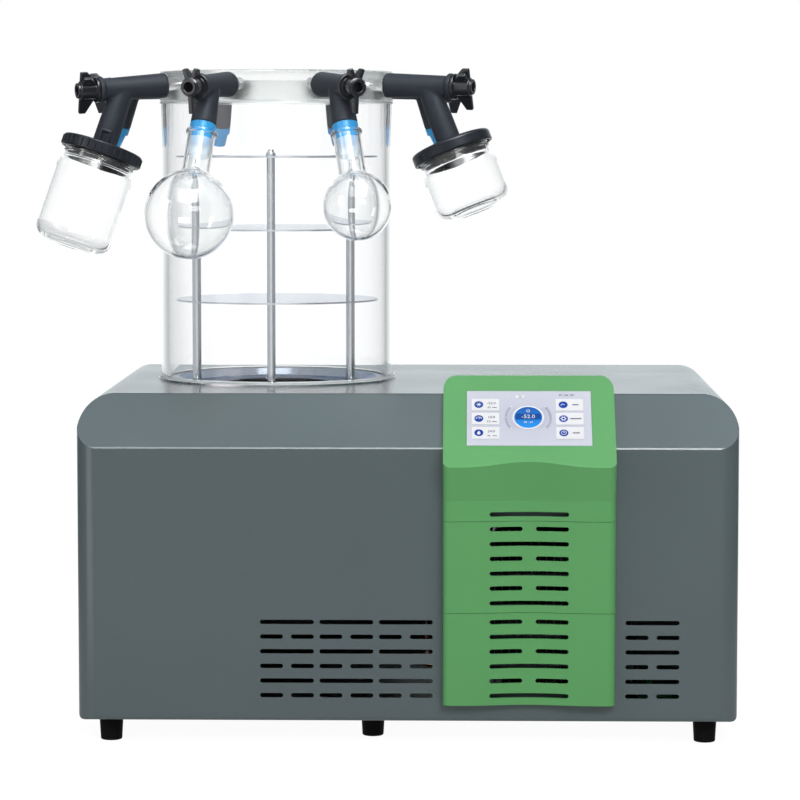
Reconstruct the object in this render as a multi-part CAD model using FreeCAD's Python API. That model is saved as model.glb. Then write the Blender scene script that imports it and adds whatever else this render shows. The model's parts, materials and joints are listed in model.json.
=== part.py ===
import FreeCAD, Part
import math
import os

from FreeCAD import Vector

# Benchtop manifold freeze dryer, in millimetres, +Z up.
# The origin is the centre of the cabinet's footprint, at bench level.
# The front of the cabinet faces -Y and +X is to the right of someone facing it.

# ---- cabinet ----
CABINET_WIDTH = 615.0
CABINET_DEPTH = 450.0
CABINET_BOTTOM = 22.0
CABINET_TOP = 324.0
CABINET_WALL = 2.0
FACET = 47.0  # rise and setback of the 45 degree facet along the front's top
FACET_EDGE_R = 3.0
SHOULDER_R = 32.0  # along the left and right top edges
BACK_TOP_R = 28.0
CORNER_R = 19.0  # vertical corners
HEM_R = 4.5  # edge round the underside
HEM_LIP = 12.0  # width of the lip turned in under the floor
PAN_THICKNESS = 1.5
PAN_CLEARANCE = 0.3

# ---- feet ----
FOOT_TOP_R = 11.35
FOOT_SOLE_R = 10.0
FOOT_SIDE_INSET = 29.5
FOOT_MID_X = -33.0
FOOT_FRONT_INSET = 25.0
FOOT_MID_INSET = 50.0

# ---- front vent slots ----
SLOT_HEIGHT = 4.2
SLOT_PITCH = 13.75
VENT_LENGTH = 50.0
VENT_SPLIT_GAP = 7.4
VENT_TOP_Z = 115.0
VENT_ROWS = 6
VENT_COLUMN_PITCH = 55.2
VENT_FIRST_X = -111.4
VENT_COLUMNS = 3  # left of the console
VENT_RIGHT_INSET = 80.0  # of the column right of the console, from the cabinet's side

# ---- console ----
CONSOLE_X = 112.9
CONSOLE_WIDTH = 159.0
CONSOLE_BOTTOM = 40.0
CONSOLE_WALL = 2.5
CONSOLE_CREST = 17.0  # how far the two ribs stand out of the cabinet's front
CONSOLE_VALLEY = 10.0  # how far the middle stands out
CONSOLE_FLANK = 5.0  # how far the flat sides of the head run out
CONSOLE_EDGE_R = 7.0
CREST_X = 50.0
CREST_R = 180.0
VALLEY_X = 12.0
VALLEY_R = 110.0
SEAM_UPPER_Z = 211.0
SEAM_LOWER_Z = 126.0
SEAM_GAP = 0.4
UNDERCUT_Z = 230.0
UNDERCUT_SLOPE = 0.353
HEAD_TOP_Z = 340.0
HEAD_SETBACK = 55.0  # of the head's top edge, from the cabinet's front
HEAD_TOP_DEPTH = 13.0
HEAD_TILT = 47.0  # of the sloped face, back from vertical
HEAD_CORNER_R = 12.0
HEAD_FACE_WALL = 4.0
HEAD_EDGE_R = 2.5
GRILLE_LONG = 73.0
GRILLE_SPLIT_GAP = 12.2
GRILLE_PITCH = 13.75
UPPER_GRILLE_TOP_Z = 217.5
UPPER_GRILLE_ROWS = 6
LOWER_GRILLE_TOP_Z = 117.5
LOWER_GRILLE_ROWS = 6

# ---- touch screen ----
SCREEN_WIDTH = 115.5
SCREEN_HEIGHT = 67.8
SCREEN_THICKNESS = 2.5
SCREEN_FROM_TOP = 19.1  # down the slope, from the head's top edge
SCREEN_CLEARANCE = 0.3
SCREEN_LEDGE = 3.5
BOARD_THICKNESS = 1.6
BOARD_CHIP = 1.2

# ---- chamber ----
CHAMBER_X = -134.0
CHAMBER_Y = 17.0
TUBE_OUTER_R = 115.5
TUBE_WALL = 8.0
TRAP_INSET = 15.5  # of the trap's inside, from the tube's outside
TRAP_WALL = 2.0
TRAP_FLOOR_Z = 112.0
TRAP_FLANGE_LIP = 2.5  # of the flange, out past the tube
TRAP_FLANGE_THICKNESS = 1.5
TRAP_SEAT_CLEARANCE = 0.3
GASKET_LIP_OUT = 1.5
GASKET_LIP_IN = 0.3
GASKET_THICKNESS = 2.0
LID_BOTTOM_Z = 598.0
LID_THICKNESS = 29.8
LID_PLATE = 10.0
LID_RING_WALL = 27.5
LID_EDGE_R = 1.5
LID_GASKET_THICKNESS = 1.5

# ---- vapour guide in the trap's mouth ----
GUIDE_SHEET = 1.2
GUIDE_RIM_CLEARANCE = 0.5  # inside the gasket
GUIDE_MOUTH_CLEARANCE = 0.5  # inside the trap's mouth
GUIDE_SLOPE = 9.5
GUIDE_DROP = 6.5
GUIDE_THROAT_R = 53.0
GUIDE_TUBE_LENGTH = 90.0

# ---- evaporator ----
COIL_PIPE_R = 5.0
COIL_TURNS = 7
COIL_PITCH = 17.0
COIL_BOTTOM_Z = 130.0
COIL_CLEARANCE = 0.15
JACKET_WALL = 25.0
JACKET_CLEARANCE = 0.3
JACKET_TOP_CLEARANCE = 0.3

# ---- shelf rack ----
SHELF_CLEARANCE = 7.5  # inside the tube
SHELF_THICKNESS = 1.6
SHELF_LOW_Z = 402.0
SHELF_PITCH = 70.7
SHELF_COUNT = 3
ROD_ANGLES = (219.0, 270.0, 321.0)
ROD_INSET = 5.5  # from a shelf's edge
ROD_R = 2.5
SPACER_R = 4.0
SPACER_BORE_CLEARANCE = 0.1
DOME_NUT_R = 4.6
DOME_NUT_HEIGHT = 3.4

# ---- manifold valves ----
FIRST_PORT_ANGLE = 25.1
PORT_DROOPS = (2.6, 2.6, 2.6, 2.6, 3.8, 2.6, 2.6, 1.3)  # degrees below level, as the loads bend them
PORT_COUNT = len(PORT_DROOPS)  # counted anticlockwise from above
JAR_PORTS = (5, 8)
FLASK_PORTS = (6, 7)
PORT_RISE = 15.7  # above the lid's underside
NIPPLE_R = 6.0
NIPPLE_BORE_R = 4.0
NIPPLE_OUT = 24.0  # how far each nipple stands out of the lid
NIPPLE_IN = 20.0
VALVE_GAP = 0.8  # between the lid's wall and a valve's barrel
BARREL_R = 12.2  # against the lid
BARREL_END_R = 10.4  # where the bead starts
BARREL_LENGTH = 70.0
BARREL_BEAD_R = 12.8
BARREL_BEAD_LENGTH = 6.0
BARREL_EDGE_R = 2.5
BRANCH_FROM_LID = 44.5
BRANCH_TOP_R = 10.6
BRANCH_R = 12.2
BRANCH_LENGTH = 39.0
BRANCH_TILT = 24.0  # outwards from square to the barrel

# ---- valve knobs ----
KNOB_RUNNING_CLEARANCE = 0.08
KNOB_END_GAP = 0.35
KNOB_STEM_LENGTH = 20.0
KNOB_FLANGE_R = 12.6
KNOB_FLANGE = 3.0
KNOB_HUB_R = 9.0
KNOB_MOUTH_R = 7.6
KNOB_LENGTH = 20.8
KNOB_MOUTH_BORE_R = 4.6
KNOB_MOUTH_DEPTH = 12.0
WING_THICKNESS = 4.2
WING_ROOT = 15.5
WING_TIP = 6.5
PADDLE_REACH = 25.0
WING_REACH = 20.5
WING_ANGLES = (70.0, 110.0)
KNOB_TURNS = (30.0, 0.0, 0.0, -30.0, -30.0, 0.0, 0.0, 30.0)  # each knob's turn at rest

# ---- flask adapters ----
SPIGOT_LENGTH = 14.0
ADAPTER_COLLAR = 7.0
ADAPTER_PLUG = 14.0
ADAPTER_PLUG_R = 10.4
ADAPTER_TIP_R = 8.6
ADAPTER_BORE_R = 4.0

# ---- flasks: centre of the bulb along the branch, from its root ----
LARGE_BULB_R = 42.0
LARGE_BULB_AT = 129.2
SMALL_BULB_R = 32.5
SMALL_BULB_AT = 121.1
NECK_R = 13.1
RIM_R = 14.9
RIM_LENGTH = 4.0
GLASS_WALL = 2.3
NECK_BLEND_R = 7.0
SEAT_GAP = 0.3

# ---- jars ----
JAR_LID_AT = 59.5  # top of the lid's disc along the branch
JAR_LID_THICKNESS = 11.5
JAR_LID_SKIRT_WALL = 3.0
JAR_LID_PLATE = 4.0
JAR_LID_RIBS = 36
JAR_RIB_R = 1.1
JAR_STEM_R = 10.8
JAR_STEM_RIBS = 6
TALL_LID_R = 39.2
SHORT_LID_R = 40.0
TALL_JAR_R = 37.5
SHORT_JAR_R = 37.0
TALL_JAR_BODY = 85.0
SHORT_JAR_BODY = 53.5
JAR_NECK_R = 34.0
JAR_NECK_BELOW_LID = 6.5
JAR_SHOULDER = 6.0
JAR_WALL = 2.6
JAR_BASE = 5.0
JAR_HEEL_R = 12.0

# ---- refrigeration and electrics ----
CONDENSER_SIZE = (160.0, 26.0, 170.0)
CONDENSER_INSET = 25.0  # from the cabinet's front
CONDENSER_FINS = 24
FIN_THICKNESS = 1.0
CONDENSER_TUBE_R = 4.0
FAN_SIZE = 156.0
FAN_DEPTH = 34.0
FAN_DUCT_R = 70.0
FAN_TIP_GAP = 3.0
FAN_HUB_R = 24.0
FAN_SHAFT_R = 4.0
FAN_CLEARANCE = 0.06
FAN_BLADES = 7
FAN_BLADE_CHORD = 27.0
FAN_BLADE_THICKNESS = 2.0
FAN_BLADE_PITCH = 32.0
COMPRESSOR_GAP = 21.0  # from the power supply's side
COMPRESSOR_INSET = 163.0  # from the cabinet's back
COMPRESSOR_R = 62.0
COMPRESSOR_HEIGHT = 165.0
COMPRESSOR_BASE = 6.0
DRIER_X = 48.0
DRIER_INSET = 127.0  # from the cabinet's front
DRIER_R = 11.0
DRIER_BODY = 70.0
PIPE_R = 4.0
PIPE_BEND_R = 12.0
PIPE_TOUCH = 0.1
CONTROL_BOARD_SIZE = (70.0, 110.0)
CONTROL_BOARD_INSET = (55.5, 105.0)  # its centre, from the cabinet's right side and front
STANDOFF_HEIGHT = 8.0
SUPPLY_SIZE = (62.0, 120.0, 42.0)
SUPPLY_INSET = (51.5, 155.0)  # its centre, from the cabinet's right side and back

# ---- rear ----
REAR_OPENING_INSET = 37.5
REAR_OPENING_LOW = 48.0
REAR_OPENING_HIGH = 282.0
REAR_PANEL_MARGIN = 12.0
REAR_PANEL_THICKNESS = 1.5
REAR_VENT_X = 90.0
REAR_VENT_ROWS = 9
REAR_VENT_LENGTH = 90.0
REAR_VENT_TOP_Z = 236.0
SCREW_HEAD_R = 3.6
SCREW_HEAD = 2.2
SCREW_SHANK_R = 2.0
SCREW_SHANK = 8.0
VACUUM_PORT_Z = 262.0
VACUUM_TUBE_R = 14.5
VACUUM_BORE_R = 13.0
VACUUM_FLANGE_R = 20.0
VACUUM_FLANGE = 3.0
VACUUM_PORT_REACH = 18.0
DRAIN_Z = 66.0
DRAIN_PIPE_R = 6.0
DRAIN_BORE_R = 4.2
DRAIN_BLOCK = 22.0
DRAIN_BLOCK_LENGTH = 30.0
DRAIN_BARB_LENGTH = 16.0
HANDLE_STEM_R = 3.0
HANDLE_CLEARANCE = 0.06
HANDLE_STEM_DEPTH = 5.0
HANDLE_LENGTH = 38.0
HANDLE_WIDTH = 9.0
HANDLE_THICKNESS = 3.0
HANDLE_GAP = 0.4
INLET_INSET = 81.5  # from the cabinet's right side
INLET_Z = 84.0
INLET_PLATE = (58.0, 62.0)
INLET_PLATE_THICKNESS = 3.0
INLET_BODY = (48.0, 52.0, 26.0)
INLET_SOCKET = (24.0, 16.5, 17.0)
INLET_SOCKET_DROP = 11.0
ROCKER_SIZE = (20.0, 13.0)
ROCKER_RISE = 16.0
ROCKER_POCKET_DEPTH = 14.0
ROCKER_CLEARANCE = 0.5
ROCKER_THROW = 14.0  # degrees between its two positions

# ---- places that follow from the sizes above ----
ORIGIN = Vector(0, 0, 0)
X_AXIS = Vector(1, 0, 0)
Y_AXIS = Vector(0, 1, 0)
Z_AXIS = Vector(0, 0, 1)
FRONT_Y = -CABINET_DEPTH / 2
BACK_Y = CABINET_DEPTH / 2
HALF_WIDTH = CABINET_WIDTH / 2
FACET_LINE = CABINET_TOP - FRONT_Y - FACET  # z - y everywhere on the facet
FOOT_X = HALF_WIDTH - FOOT_SIDE_INSET
VENT_COLUMNS_X = [VENT_FIRST_X + VENT_COLUMN_PITCH * i for i in range(VENT_COLUMNS)]
VENT_COLUMNS_X.append(HALF_WIDTH - VENT_RIGHT_INSET)
HEAD_TOP_FRONT_Y = FRONT_Y + HEAD_SETBACK
HEAD_TOP_BACK_Y = HEAD_TOP_FRONT_Y + HEAD_TOP_DEPTH
PAN_BOTTOM = CABINET_BOTTOM + CABINET_WALL
PAN_TOP = PAN_BOTTOM + PAN_THICKNESS
TUBE_INNER_R = TUBE_OUTER_R - TUBE_WALL
TRAP_INNER_R = TUBE_OUTER_R - TRAP_INSET
TRAP_OUTER_R = TRAP_INNER_R + TRAP_WALL
TRAP_FLANGE_R = TUBE_OUTER_R + TRAP_FLANGE_LIP
TRAP_BOTTOM_Z = TRAP_FLOOR_Z - TRAP_WALL
FLANGE_TOP = CABINET_TOP + TRAP_FLANGE_THICKNESS
GASKET_OUTER_R = TUBE_OUTER_R + GASKET_LIP_OUT
GASKET_INNER_R = TUBE_INNER_R - GASKET_LIP_IN
GASKET_TOP = FLANGE_TOP + GASKET_THICKNESS
TUBE_TOP = LID_BOTTOM_Z - LID_GASKET_THICKNESS
LID_TOP = LID_BOTTOM_Z + LID_THICKNESS
LID_CAVITY_R = TUBE_OUTER_R - LID_RING_WALL
GUIDE_RIM_R = GASKET_INNER_R - GUIDE_RIM_CLEARANCE
GUIDE_SLOPE_TOP_R = TRAP_INNER_R - GUIDE_MOUTH_CLEARANCE
GUIDE_FLOOR_R = GUIDE_SLOPE_TOP_R - GUIDE_SLOPE
GUIDE_FLOOR_TOP = FLANGE_TOP + GUIDE_SHEET - GUIDE_DROP
COIL_CIRCLE_R = TRAP_OUTER_R + COIL_CLEARANCE + COIL_PIPE_R
COIL_TOP_Z = COIL_BOTTOM_Z + COIL_PITCH * (COIL_TURNS - 1)
JACKET_INNER_R = COIL_CIRCLE_R + COIL_PIPE_R + JACKET_CLEARANCE
JACKET_OUTER_R = JACKET_INNER_R + JACKET_WALL
SHELF_R = TUBE_INNER_R - SHELF_CLEARANCE
ROD_CIRCLE_R = SHELF_R - ROD_INSET
SHELF_BOTTOMS = [SHELF_LOW_Z + SHELF_PITCH * i for i in range(SHELF_COUNT)]
RACK_TOP = SHELF_BOTTOMS[-1] + SHELF_THICKNESS
VALVE_START = TUBE_OUTER_R + VALVE_GAP
BARREL_END = VALVE_START + BARREL_LENGTH
KNOB_START = BARREL_END + KNOB_END_GAP
KNOB_STEM_R = NIPPLE_R - KNOB_RUNNING_CLEARANCE
BRANCH_ROOT_R = TUBE_OUTER_R + BRANCH_FROM_LID
PORT_Z = LID_BOTTOM_Z + PORT_RISE
PORT_ANGLES = [FIRST_PORT_ANGLE + 360.0 / PORT_COUNT * i for i in range(PORT_COUNT)]
HEAD_ANGLE = math.radians(HEAD_TILT)
UP_SLOPE = Vector(0, math.sin(HEAD_ANGLE), math.cos(HEAD_ANGLE))
SLOPE_NORMAL = Vector(0, -math.cos(HEAD_ANGLE), math.sin(HEAD_ANGLE))
HEAD_TOP_EDGE = Vector(CONSOLE_X, HEAD_TOP_FRONT_Y, HEAD_TOP_Z)
SCREEN_CENTRE = HEAD_TOP_EDGE - UP_SLOPE * (SCREEN_FROM_TOP + SCREEN_HEIGHT / 2)
CONDENSER_FRONT_Y = FRONT_Y + CONDENSER_INSET
DRIER_Y = FRONT_Y + DRIER_INSET
CONTROL_BOARD_X = HALF_WIDTH - CONTROL_BOARD_INSET[0]
CONTROL_BOARD_Y = FRONT_Y + CONTROL_BOARD_INSET[1]
SUPPLY_X = HALF_WIDTH - SUPPLY_INSET[0]
SUPPLY_Y = BACK_Y - SUPPLY_INSET[1]
COMPRESSOR_X = SUPPLY_X - SUPPLY_SIZE[0] / 2 - COMPRESSOR_GAP - COMPRESSOR_R
COMPRESSOR_Y = BACK_Y - COMPRESSOR_INSET
FAN_Y = CONDENSER_FRONT_Y + CONDENSER_SIZE[1]
FAN_Z = PAN_TOP + FAN_SIZE / 2
REAR_OPENING_X = HALF_WIDTH - REAR_OPENING_INSET
INLET_X = HALF_WIDTH - INLET_INSET
REAR_FACE_Y = BACK_Y + REAR_PANEL_THICKNESS
DRAIN_BLOCK_END = REAR_FACE_Y + 4.0 + DRAIN_BLOCK_LENGTH
HANDLE_Y = DRAIN_BLOCK_END - DRAIN_BLOCK_LENGTH / 2
HANDLE_Z = DRAIN_Z + DRAIN_BLOCK / 2
ROCKER_Z = INLET_Z + ROCKER_RISE
ROCKER_PIVOT_Y = REAR_FACE_Y + INLET_PLATE_THICKNESS - 3.0


# ---- helpers ----
def box(x, y, z):
    """A box from three (low, high) pairs."""
    return Part.makeBox(x[1] - x[0], y[1] - y[0], z[1] - z[0], Vector(x[0], y[0], z[0]))


def cylinder(radius, start, direction, length):
    return Part.makeCylinder(radius, length, start, direction)


def ring(outer_r, inner_r, centre, height):
    """An upright ring standing on centre."""
    return cylinder(outer_r, centre, Z_AXIS, height).cut(cylinder(inner_r, centre, Z_AXIS, height))


def fuse(shapes):
    return shapes[0].multiFuse(shapes[1:]).removeSplitter() if len(shapes) > 1 else shapes[0]


def rounded_wire(corners, place):
    """A closed wire through (u, v, radius) corners, each rounded by a tangent arc."""
    points = [Vector(u, v, 0) for u, v, _ in corners]
    arcs = []
    for i, (_, _, radius) in enumerate(corners):
        point = points[i]
        back = (points[i - 1] - point).normalize()
        ahead = (points[(i + 1) % len(points)] - point).normalize()
        if radius <= 0:
            arcs.append((point, None, point))
            continue
        half = back.getAngle(ahead) / 2
        reach = radius / math.tan(half)
        centre = point + (back + ahead).normalize() * (radius / math.sin(half))
        middle = centre + (point - centre).normalize() * radius
        arcs.append((point + back * reach, middle, point + ahead * reach))
    edges = []
    for i, (start, middle, end) in enumerate(arcs):
        if middle is not None:
            edges.append(Part.Arc(place(start), place(middle), place(end)).toShape())
        after = arcs[(i + 1) % len(arcs)][0]
        if (after - end).Length > 1e-7:
            edges.append(Part.LineSegment(place(end), place(after)).toShape())
    return Part.Wire(edges)


def side_prism(corners, x_low, x_high):
    """(y, z, radius) corners, extruded along X."""
    wire = rounded_wire(corners, lambda p: Vector(x_low, p.x, p.y))
    return Part.Face(wire).extrude(X_AXIS * (x_high - x_low))


def front_prism(corners, y_low, y_high):
    """(x, z, radius) corners, extruded along Y."""
    wire = rounded_wire(corners, lambda p: Vector(p.x, y_low, p.y))
    return Part.Face(wire).extrude(Y_AXIS * (y_high - y_low))


def plan_prism(corners, z_low, rise):
    """(x, y, radius) corners, extruded along the vector rise."""
    wire = rounded_wire(corners, lambda p: Vector(p.x, p.y, z_low))
    return Part.Face(wire).extrude(rise)


def turned(corners, centre=ORIGIN):
    """(radius, z, corner radius) corners, turned about the upright axis through centre."""
    wire = rounded_wire(corners, lambda p: Vector(p.x, 0, p.y))
    solid = Part.Face(wire).revolve(ORIGIN, Z_AXIS, 360)
    solid.translate(centre)
    return solid


def slot_cutter(centre_x, centre_z, length, y_low, y_high):
    """A slot with round ends, cut along Y."""
    half, tall = length / 2, SLOT_HEIGHT / 2
    corners = [
        (centre_x - half, centre_z - tall, tall * 0.999),
        (centre_x + half, centre_z - tall, tall * 0.999),
        (centre_x + half, centre_z + tall, tall * 0.999),
        (centre_x - half, centre_z + tall, tall * 0.999),
    ]
    return front_prism(corners, y_low, y_high)


def slot_row(centre_x, centre_z, length, split_gap, y_low, y_high):
    """One long slot, or two short ones where split_gap is given."""
    if not split_gap:
        return [slot_cutter(centre_x, centre_z, length, y_low, y_high)]
    short = (length - split_gap) / 2
    offset = (length - short) / 2
    return [slot_cutter(centre_x + s * offset, centre_z, short, y_low, y_high) for s in (-1, 1)]


def pipe(points, radius, bend=PIPE_BEND_R):
    """A round bar along straight runs joined by tangent bends."""
    edges = []
    start = points[0]
    for before, corner, after in zip(points, points[1:], points[2:]):
        back = (before - corner).normalize()
        ahead = (after - corner).normalize()
        half = back.getAngle(ahead) / 2
        reach = bend / math.tan(half)
        centre = corner + (back + ahead).normalize() * (bend / math.sin(half))
        middle = centre + (corner - centre).normalize() * bend
        edges.append(Part.LineSegment(start, corner + back * reach).toShape())
        edges.append(Part.Arc(corner + back * reach, middle, corner + ahead * reach).toShape())
        start = corner + ahead * reach
    edges.append(Part.LineSegment(start, points[-1]).toShape())
    path = Part.Wire(edges)
    circle = Part.Circle(points[0], points[1] - points[0], radius).toShape()
    return path.makePipeShell([Part.Wire(circle)], True, False)


def at_chamber(z, x=0.0, y=0.0):
    """A point given from the chamber's axis."""
    return Vector(CHAMBER_X + x, CHAMBER_Y + y, z)


def hung(shape):
    """Hangs a shape turned about Z, root at its top, along a level valve's branch."""
    shape = shape.copy()
    shape.rotate(ORIGIN, Y_AXIS, -BRANCH_TILT)
    shape.translate(X_AXIS * BRANCH_ROOT_R)
    return shape


def at_port(shape, port):
    """Puts a shape made level along +X from the lid's wall at a port, tipped by its droop."""
    shape = shape.copy()
    shape.rotate(X_AXIS * TUBE_OUTER_R, Y_AXIS, PORT_DROOPS[port - 1])
    shape.rotate(ORIGIN, Z_AXIS, PORT_ANGLES[port - 1])
    shape.translate(at_chamber(PORT_Z))
    return shape


# ---- cabinet ----
def cabinet_form(inset, bottom):
    """The cabinet's outer form, or the same form inset from it, down to bottom."""
    front, back, top = FRONT_Y + inset, BACK_Y - inset, CABINET_TOP - inset
    side = HALF_WIDTH - inset
    line = FACET_LINE - inset * math.sqrt(2)
    hem = HEM_R if inset == 0 else 0
    facet_r = max(FACET_EDGE_R - inset, 0)
    corner_r = CORNER_R - inset
    profile = side_prism(
        [
            (front, bottom, hem),
            (front, front + line, facet_r),
            (top - line, top, facet_r),
            (back, top, BACK_TOP_R - inset),
            (back, bottom, hem),
        ],
        -side,
        side,
    )
    outline = front_prism(
        [
            (-side, bottom, hem),
            (side, bottom, hem),
            (side, top, SHOULDER_R - inset),
            (-side, top, SHOULDER_R - inset),
        ],
        front,
        back,
    )
    return profile.common(outline).common(cabinet_plan(inset, bottom, top - bottom))


def cabinet_plan(inset, z_low, height):
    front, back, side = FRONT_Y + inset, BACK_Y - inset, HALF_WIDTH - inset
    corners = [(-side, front), (side, front), (side, back), (-side, back)]
    radius = CORNER_R - inset
    return plan_prism([(x, y, radius) for x, y in corners], z_low, Z_AXIS * height)


def vent_cutters():
    cutters = []
    for centre_x in VENT_COLUMNS_X:
        for row in range(VENT_ROWS):
            gap = VENT_SPLIT_GAP if row % 2 else 0
            z = VENT_TOP_Z - SLOT_PITCH * row
            cutters += slot_row(centre_x, z, VENT_LENGTH, gap, FRONT_Y - 1, FRONT_Y + CABINET_WALL + 1)
    return cutters


def rear_screw_places():
    """(x, z) of the rear panel's screws, halfway over the rim that carries it."""
    x = REAR_OPENING_X + REAR_PANEL_MARGIN / 2
    low = REAR_OPENING_LOW - REAR_PANEL_MARGIN / 2
    high = REAR_OPENING_HIGH + REAR_PANEL_MARGIN / 2
    middle = (low + high) / 2
    sides = [(s * x, z) for s in (-1, 1) for z in (low, middle, high)]
    return sides + [(s * x / 3, z) for s in (-1, 1) for z in (low, high)]


def screw_bores(y_low, length):
    return [cylinder(SCREW_SHANK_R, Vector(x, y_low, z), Y_AXIS, length) for x, z in rear_screw_places()]


def cabinet_shell():
    shell = cabinet_form(0, CABINET_BOTTOM)
    inner = cabinet_form(CABINET_WALL, CABINET_BOTTOM + CABINET_WALL)
    floor_opening = cabinet_plan(HEM_LIP, CABINET_BOTTOM - 1, CABINET_WALL + 2)
    rear_opening = box(
        (-REAR_OPENING_X, REAR_OPENING_X),
        (BACK_Y - CABINET_WALL - 1, BACK_Y + 1),
        (REAR_OPENING_LOW, REAR_OPENING_HIGH),
    )
    trap_opening_r = TRAP_OUTER_R + TRAP_SEAT_CLEARANCE
    below_top = at_chamber(CABINET_TOP - 2 * CABINET_WALL)
    trap_opening = cylinder(trap_opening_r, below_top, Z_AXIS, 3 * CABINET_WALL)
    air_inlet = box(
        (CONSOLE_X - GRILLE_LONG / 2, CONSOLE_X + GRILLE_LONG / 2),
        (FRONT_Y - 1, FRONT_Y + CABINET_WALL + 1),
        (CONSOLE_BOTTOM + 8, SEAM_UPPER_Z - 6),
    )
    bores = screw_bores(BACK_Y - CABINET_WALL - 1, CABINET_WALL + 2)
    cutters = [inner, floor_opening, rear_opening, trap_opening, air_inlet] + bores + vent_cutters()
    return shell.cut(cutters)


def base_pan():
    return cabinet_plan(CABINET_WALL + PAN_CLEARANCE, PAN_BOTTOM, PAN_THICKNESS)


def rear_panel():
    margin = REAR_PANEL_MARGIN
    plate = front_prism(
        [
            (-REAR_OPENING_X - margin, REAR_OPENING_LOW - margin, 6),
            (REAR_OPENING_X + margin, REAR_OPENING_LOW - margin, 6),
            (REAR_OPENING_X + margin, REAR_OPENING_HIGH + margin, 6),
            (-REAR_OPENING_X - margin, REAR_OPENING_HIGH + margin, 6),
        ],
        BACK_Y,
        REAR_FACE_Y,
    )
    through = (BACK_Y - 1, REAR_FACE_Y + 1)
    cutters = screw_bores(through[0], through[1] - through[0])
    for row in range(REAR_VENT_ROWS):
        for side in (-1, 1):
            centre_x = REAR_VENT_X + side * (REAR_VENT_LENGTH / 2 + SLOT_PITCH / 2)
            z = REAR_VENT_TOP_Z - SLOT_PITCH * row
            cutters.append(slot_cutter(centre_x, z, REAR_VENT_LENGTH, *through))
    length = through[1] - through[0]
    cutters.append(cylinder(VACUUM_TUBE_R, Vector(CHAMBER_X, through[0], VACUUM_PORT_Z), Y_AXIS, length))
    cutters.append(cylinder(DRAIN_PIPE_R, Vector(CHAMBER_X, through[0], DRAIN_Z), Y_AXIS, length))
    half_x, half_z = INLET_BODY[0] / 2, INLET_BODY[1] / 2
    cutters.append(box((INLET_X - half_x, INLET_X + half_x), through, (INLET_Z - half_z, INLET_Z + half_z)))
    return plate.cut(cutters)


def foot_places():
    front, back = FRONT_Y + FOOT_FRONT_INSET, BACK_Y - FOOT_FRONT_INSET
    corners = [(s * FOOT_X, y) for s in (-1, 1) for y in (front, back)]
    return corners + [(FOOT_MID_X, FRONT_Y + FOOT_MID_INSET), (FOOT_MID_X, BACK_Y - FOOT_MID_INSET)]


def rubber_feet():
    profile = [(0, 0, 0), (FOOT_SOLE_R, 0, 1.5), (FOOT_TOP_R, PAN_BOTTOM, 0), (0, PAN_BOTTOM, 0)]
    return Part.makeCompound([turned(profile, Vector(x, y, 0)) for x, y in foot_places()])


# ---- console ----
def console_plan(inset, back_y):
    """The console's outline from above: two ribs with a shallow valley between them."""
    crest, valley = FRONT_Y - CONSOLE_CREST + inset, FRONT_Y - CONSOLE_VALLEY + inset
    half = CONSOLE_WIDTH / 2 - inset
    right = [
        (VALLEY_X, valley, VALLEY_R),
        (CREST_X, crest, CREST_R),
        (half, crest, CONSOLE_EDGE_R - inset),
        (half, back_y, 0.0),
    ]
    left = [(-x, y, r) for x, y, r in reversed(right)]
    return [(CONSOLE_X + x, y, r) for x, y, r in left + right]


def console_skirt(z_low, z_high, closed_floor=0.0):
    """A hollow length of the console's front, open at its back."""
    outer = plan_prism(console_plan(0, FRONT_Y), z_low, Z_AXIS * (z_high - z_low))
    inner_low = z_low + closed_floor if closed_floor else z_low - 1
    inner = plan_prism(console_plan(CONSOLE_WALL, FRONT_Y + 1), inner_low, Z_AXIS * (z_high + 1 - inner_low))
    return outer.cut(inner)


def grille_cutters(top_z, rows, first_split):
    cutters = []
    for row in range(rows):
        gap = GRILLE_SPLIT_GAP if (row % 2 == 0) == first_split else 0
        z = top_z - GRILLE_PITCH * row
        cutters += slot_row(CONSOLE_X, z, GRILLE_LONG, gap, FRONT_Y - CONSOLE_CREST - 1, FRONT_Y)
    return cutters


def upper_grille_cover():
    cover = console_skirt(SEAM_LOWER_Z + SEAM_GAP / 2, SEAM_UPPER_Z - SEAM_GAP / 2)
    return cover.cut(grille_cutters(UPPER_GRILLE_TOP_Z - GRILLE_PITCH, UPPER_GRILLE_ROWS, True))


def lower_grille_cover():
    cover = console_skirt(CONSOLE_BOTTOM, SEAM_LOWER_Z - SEAM_GAP / 2, CONSOLE_WALL)
    return cover.cut(grille_cutters(LOWER_GRILLE_TOP_Z, LOWER_GRILLE_ROWS, True))


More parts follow.
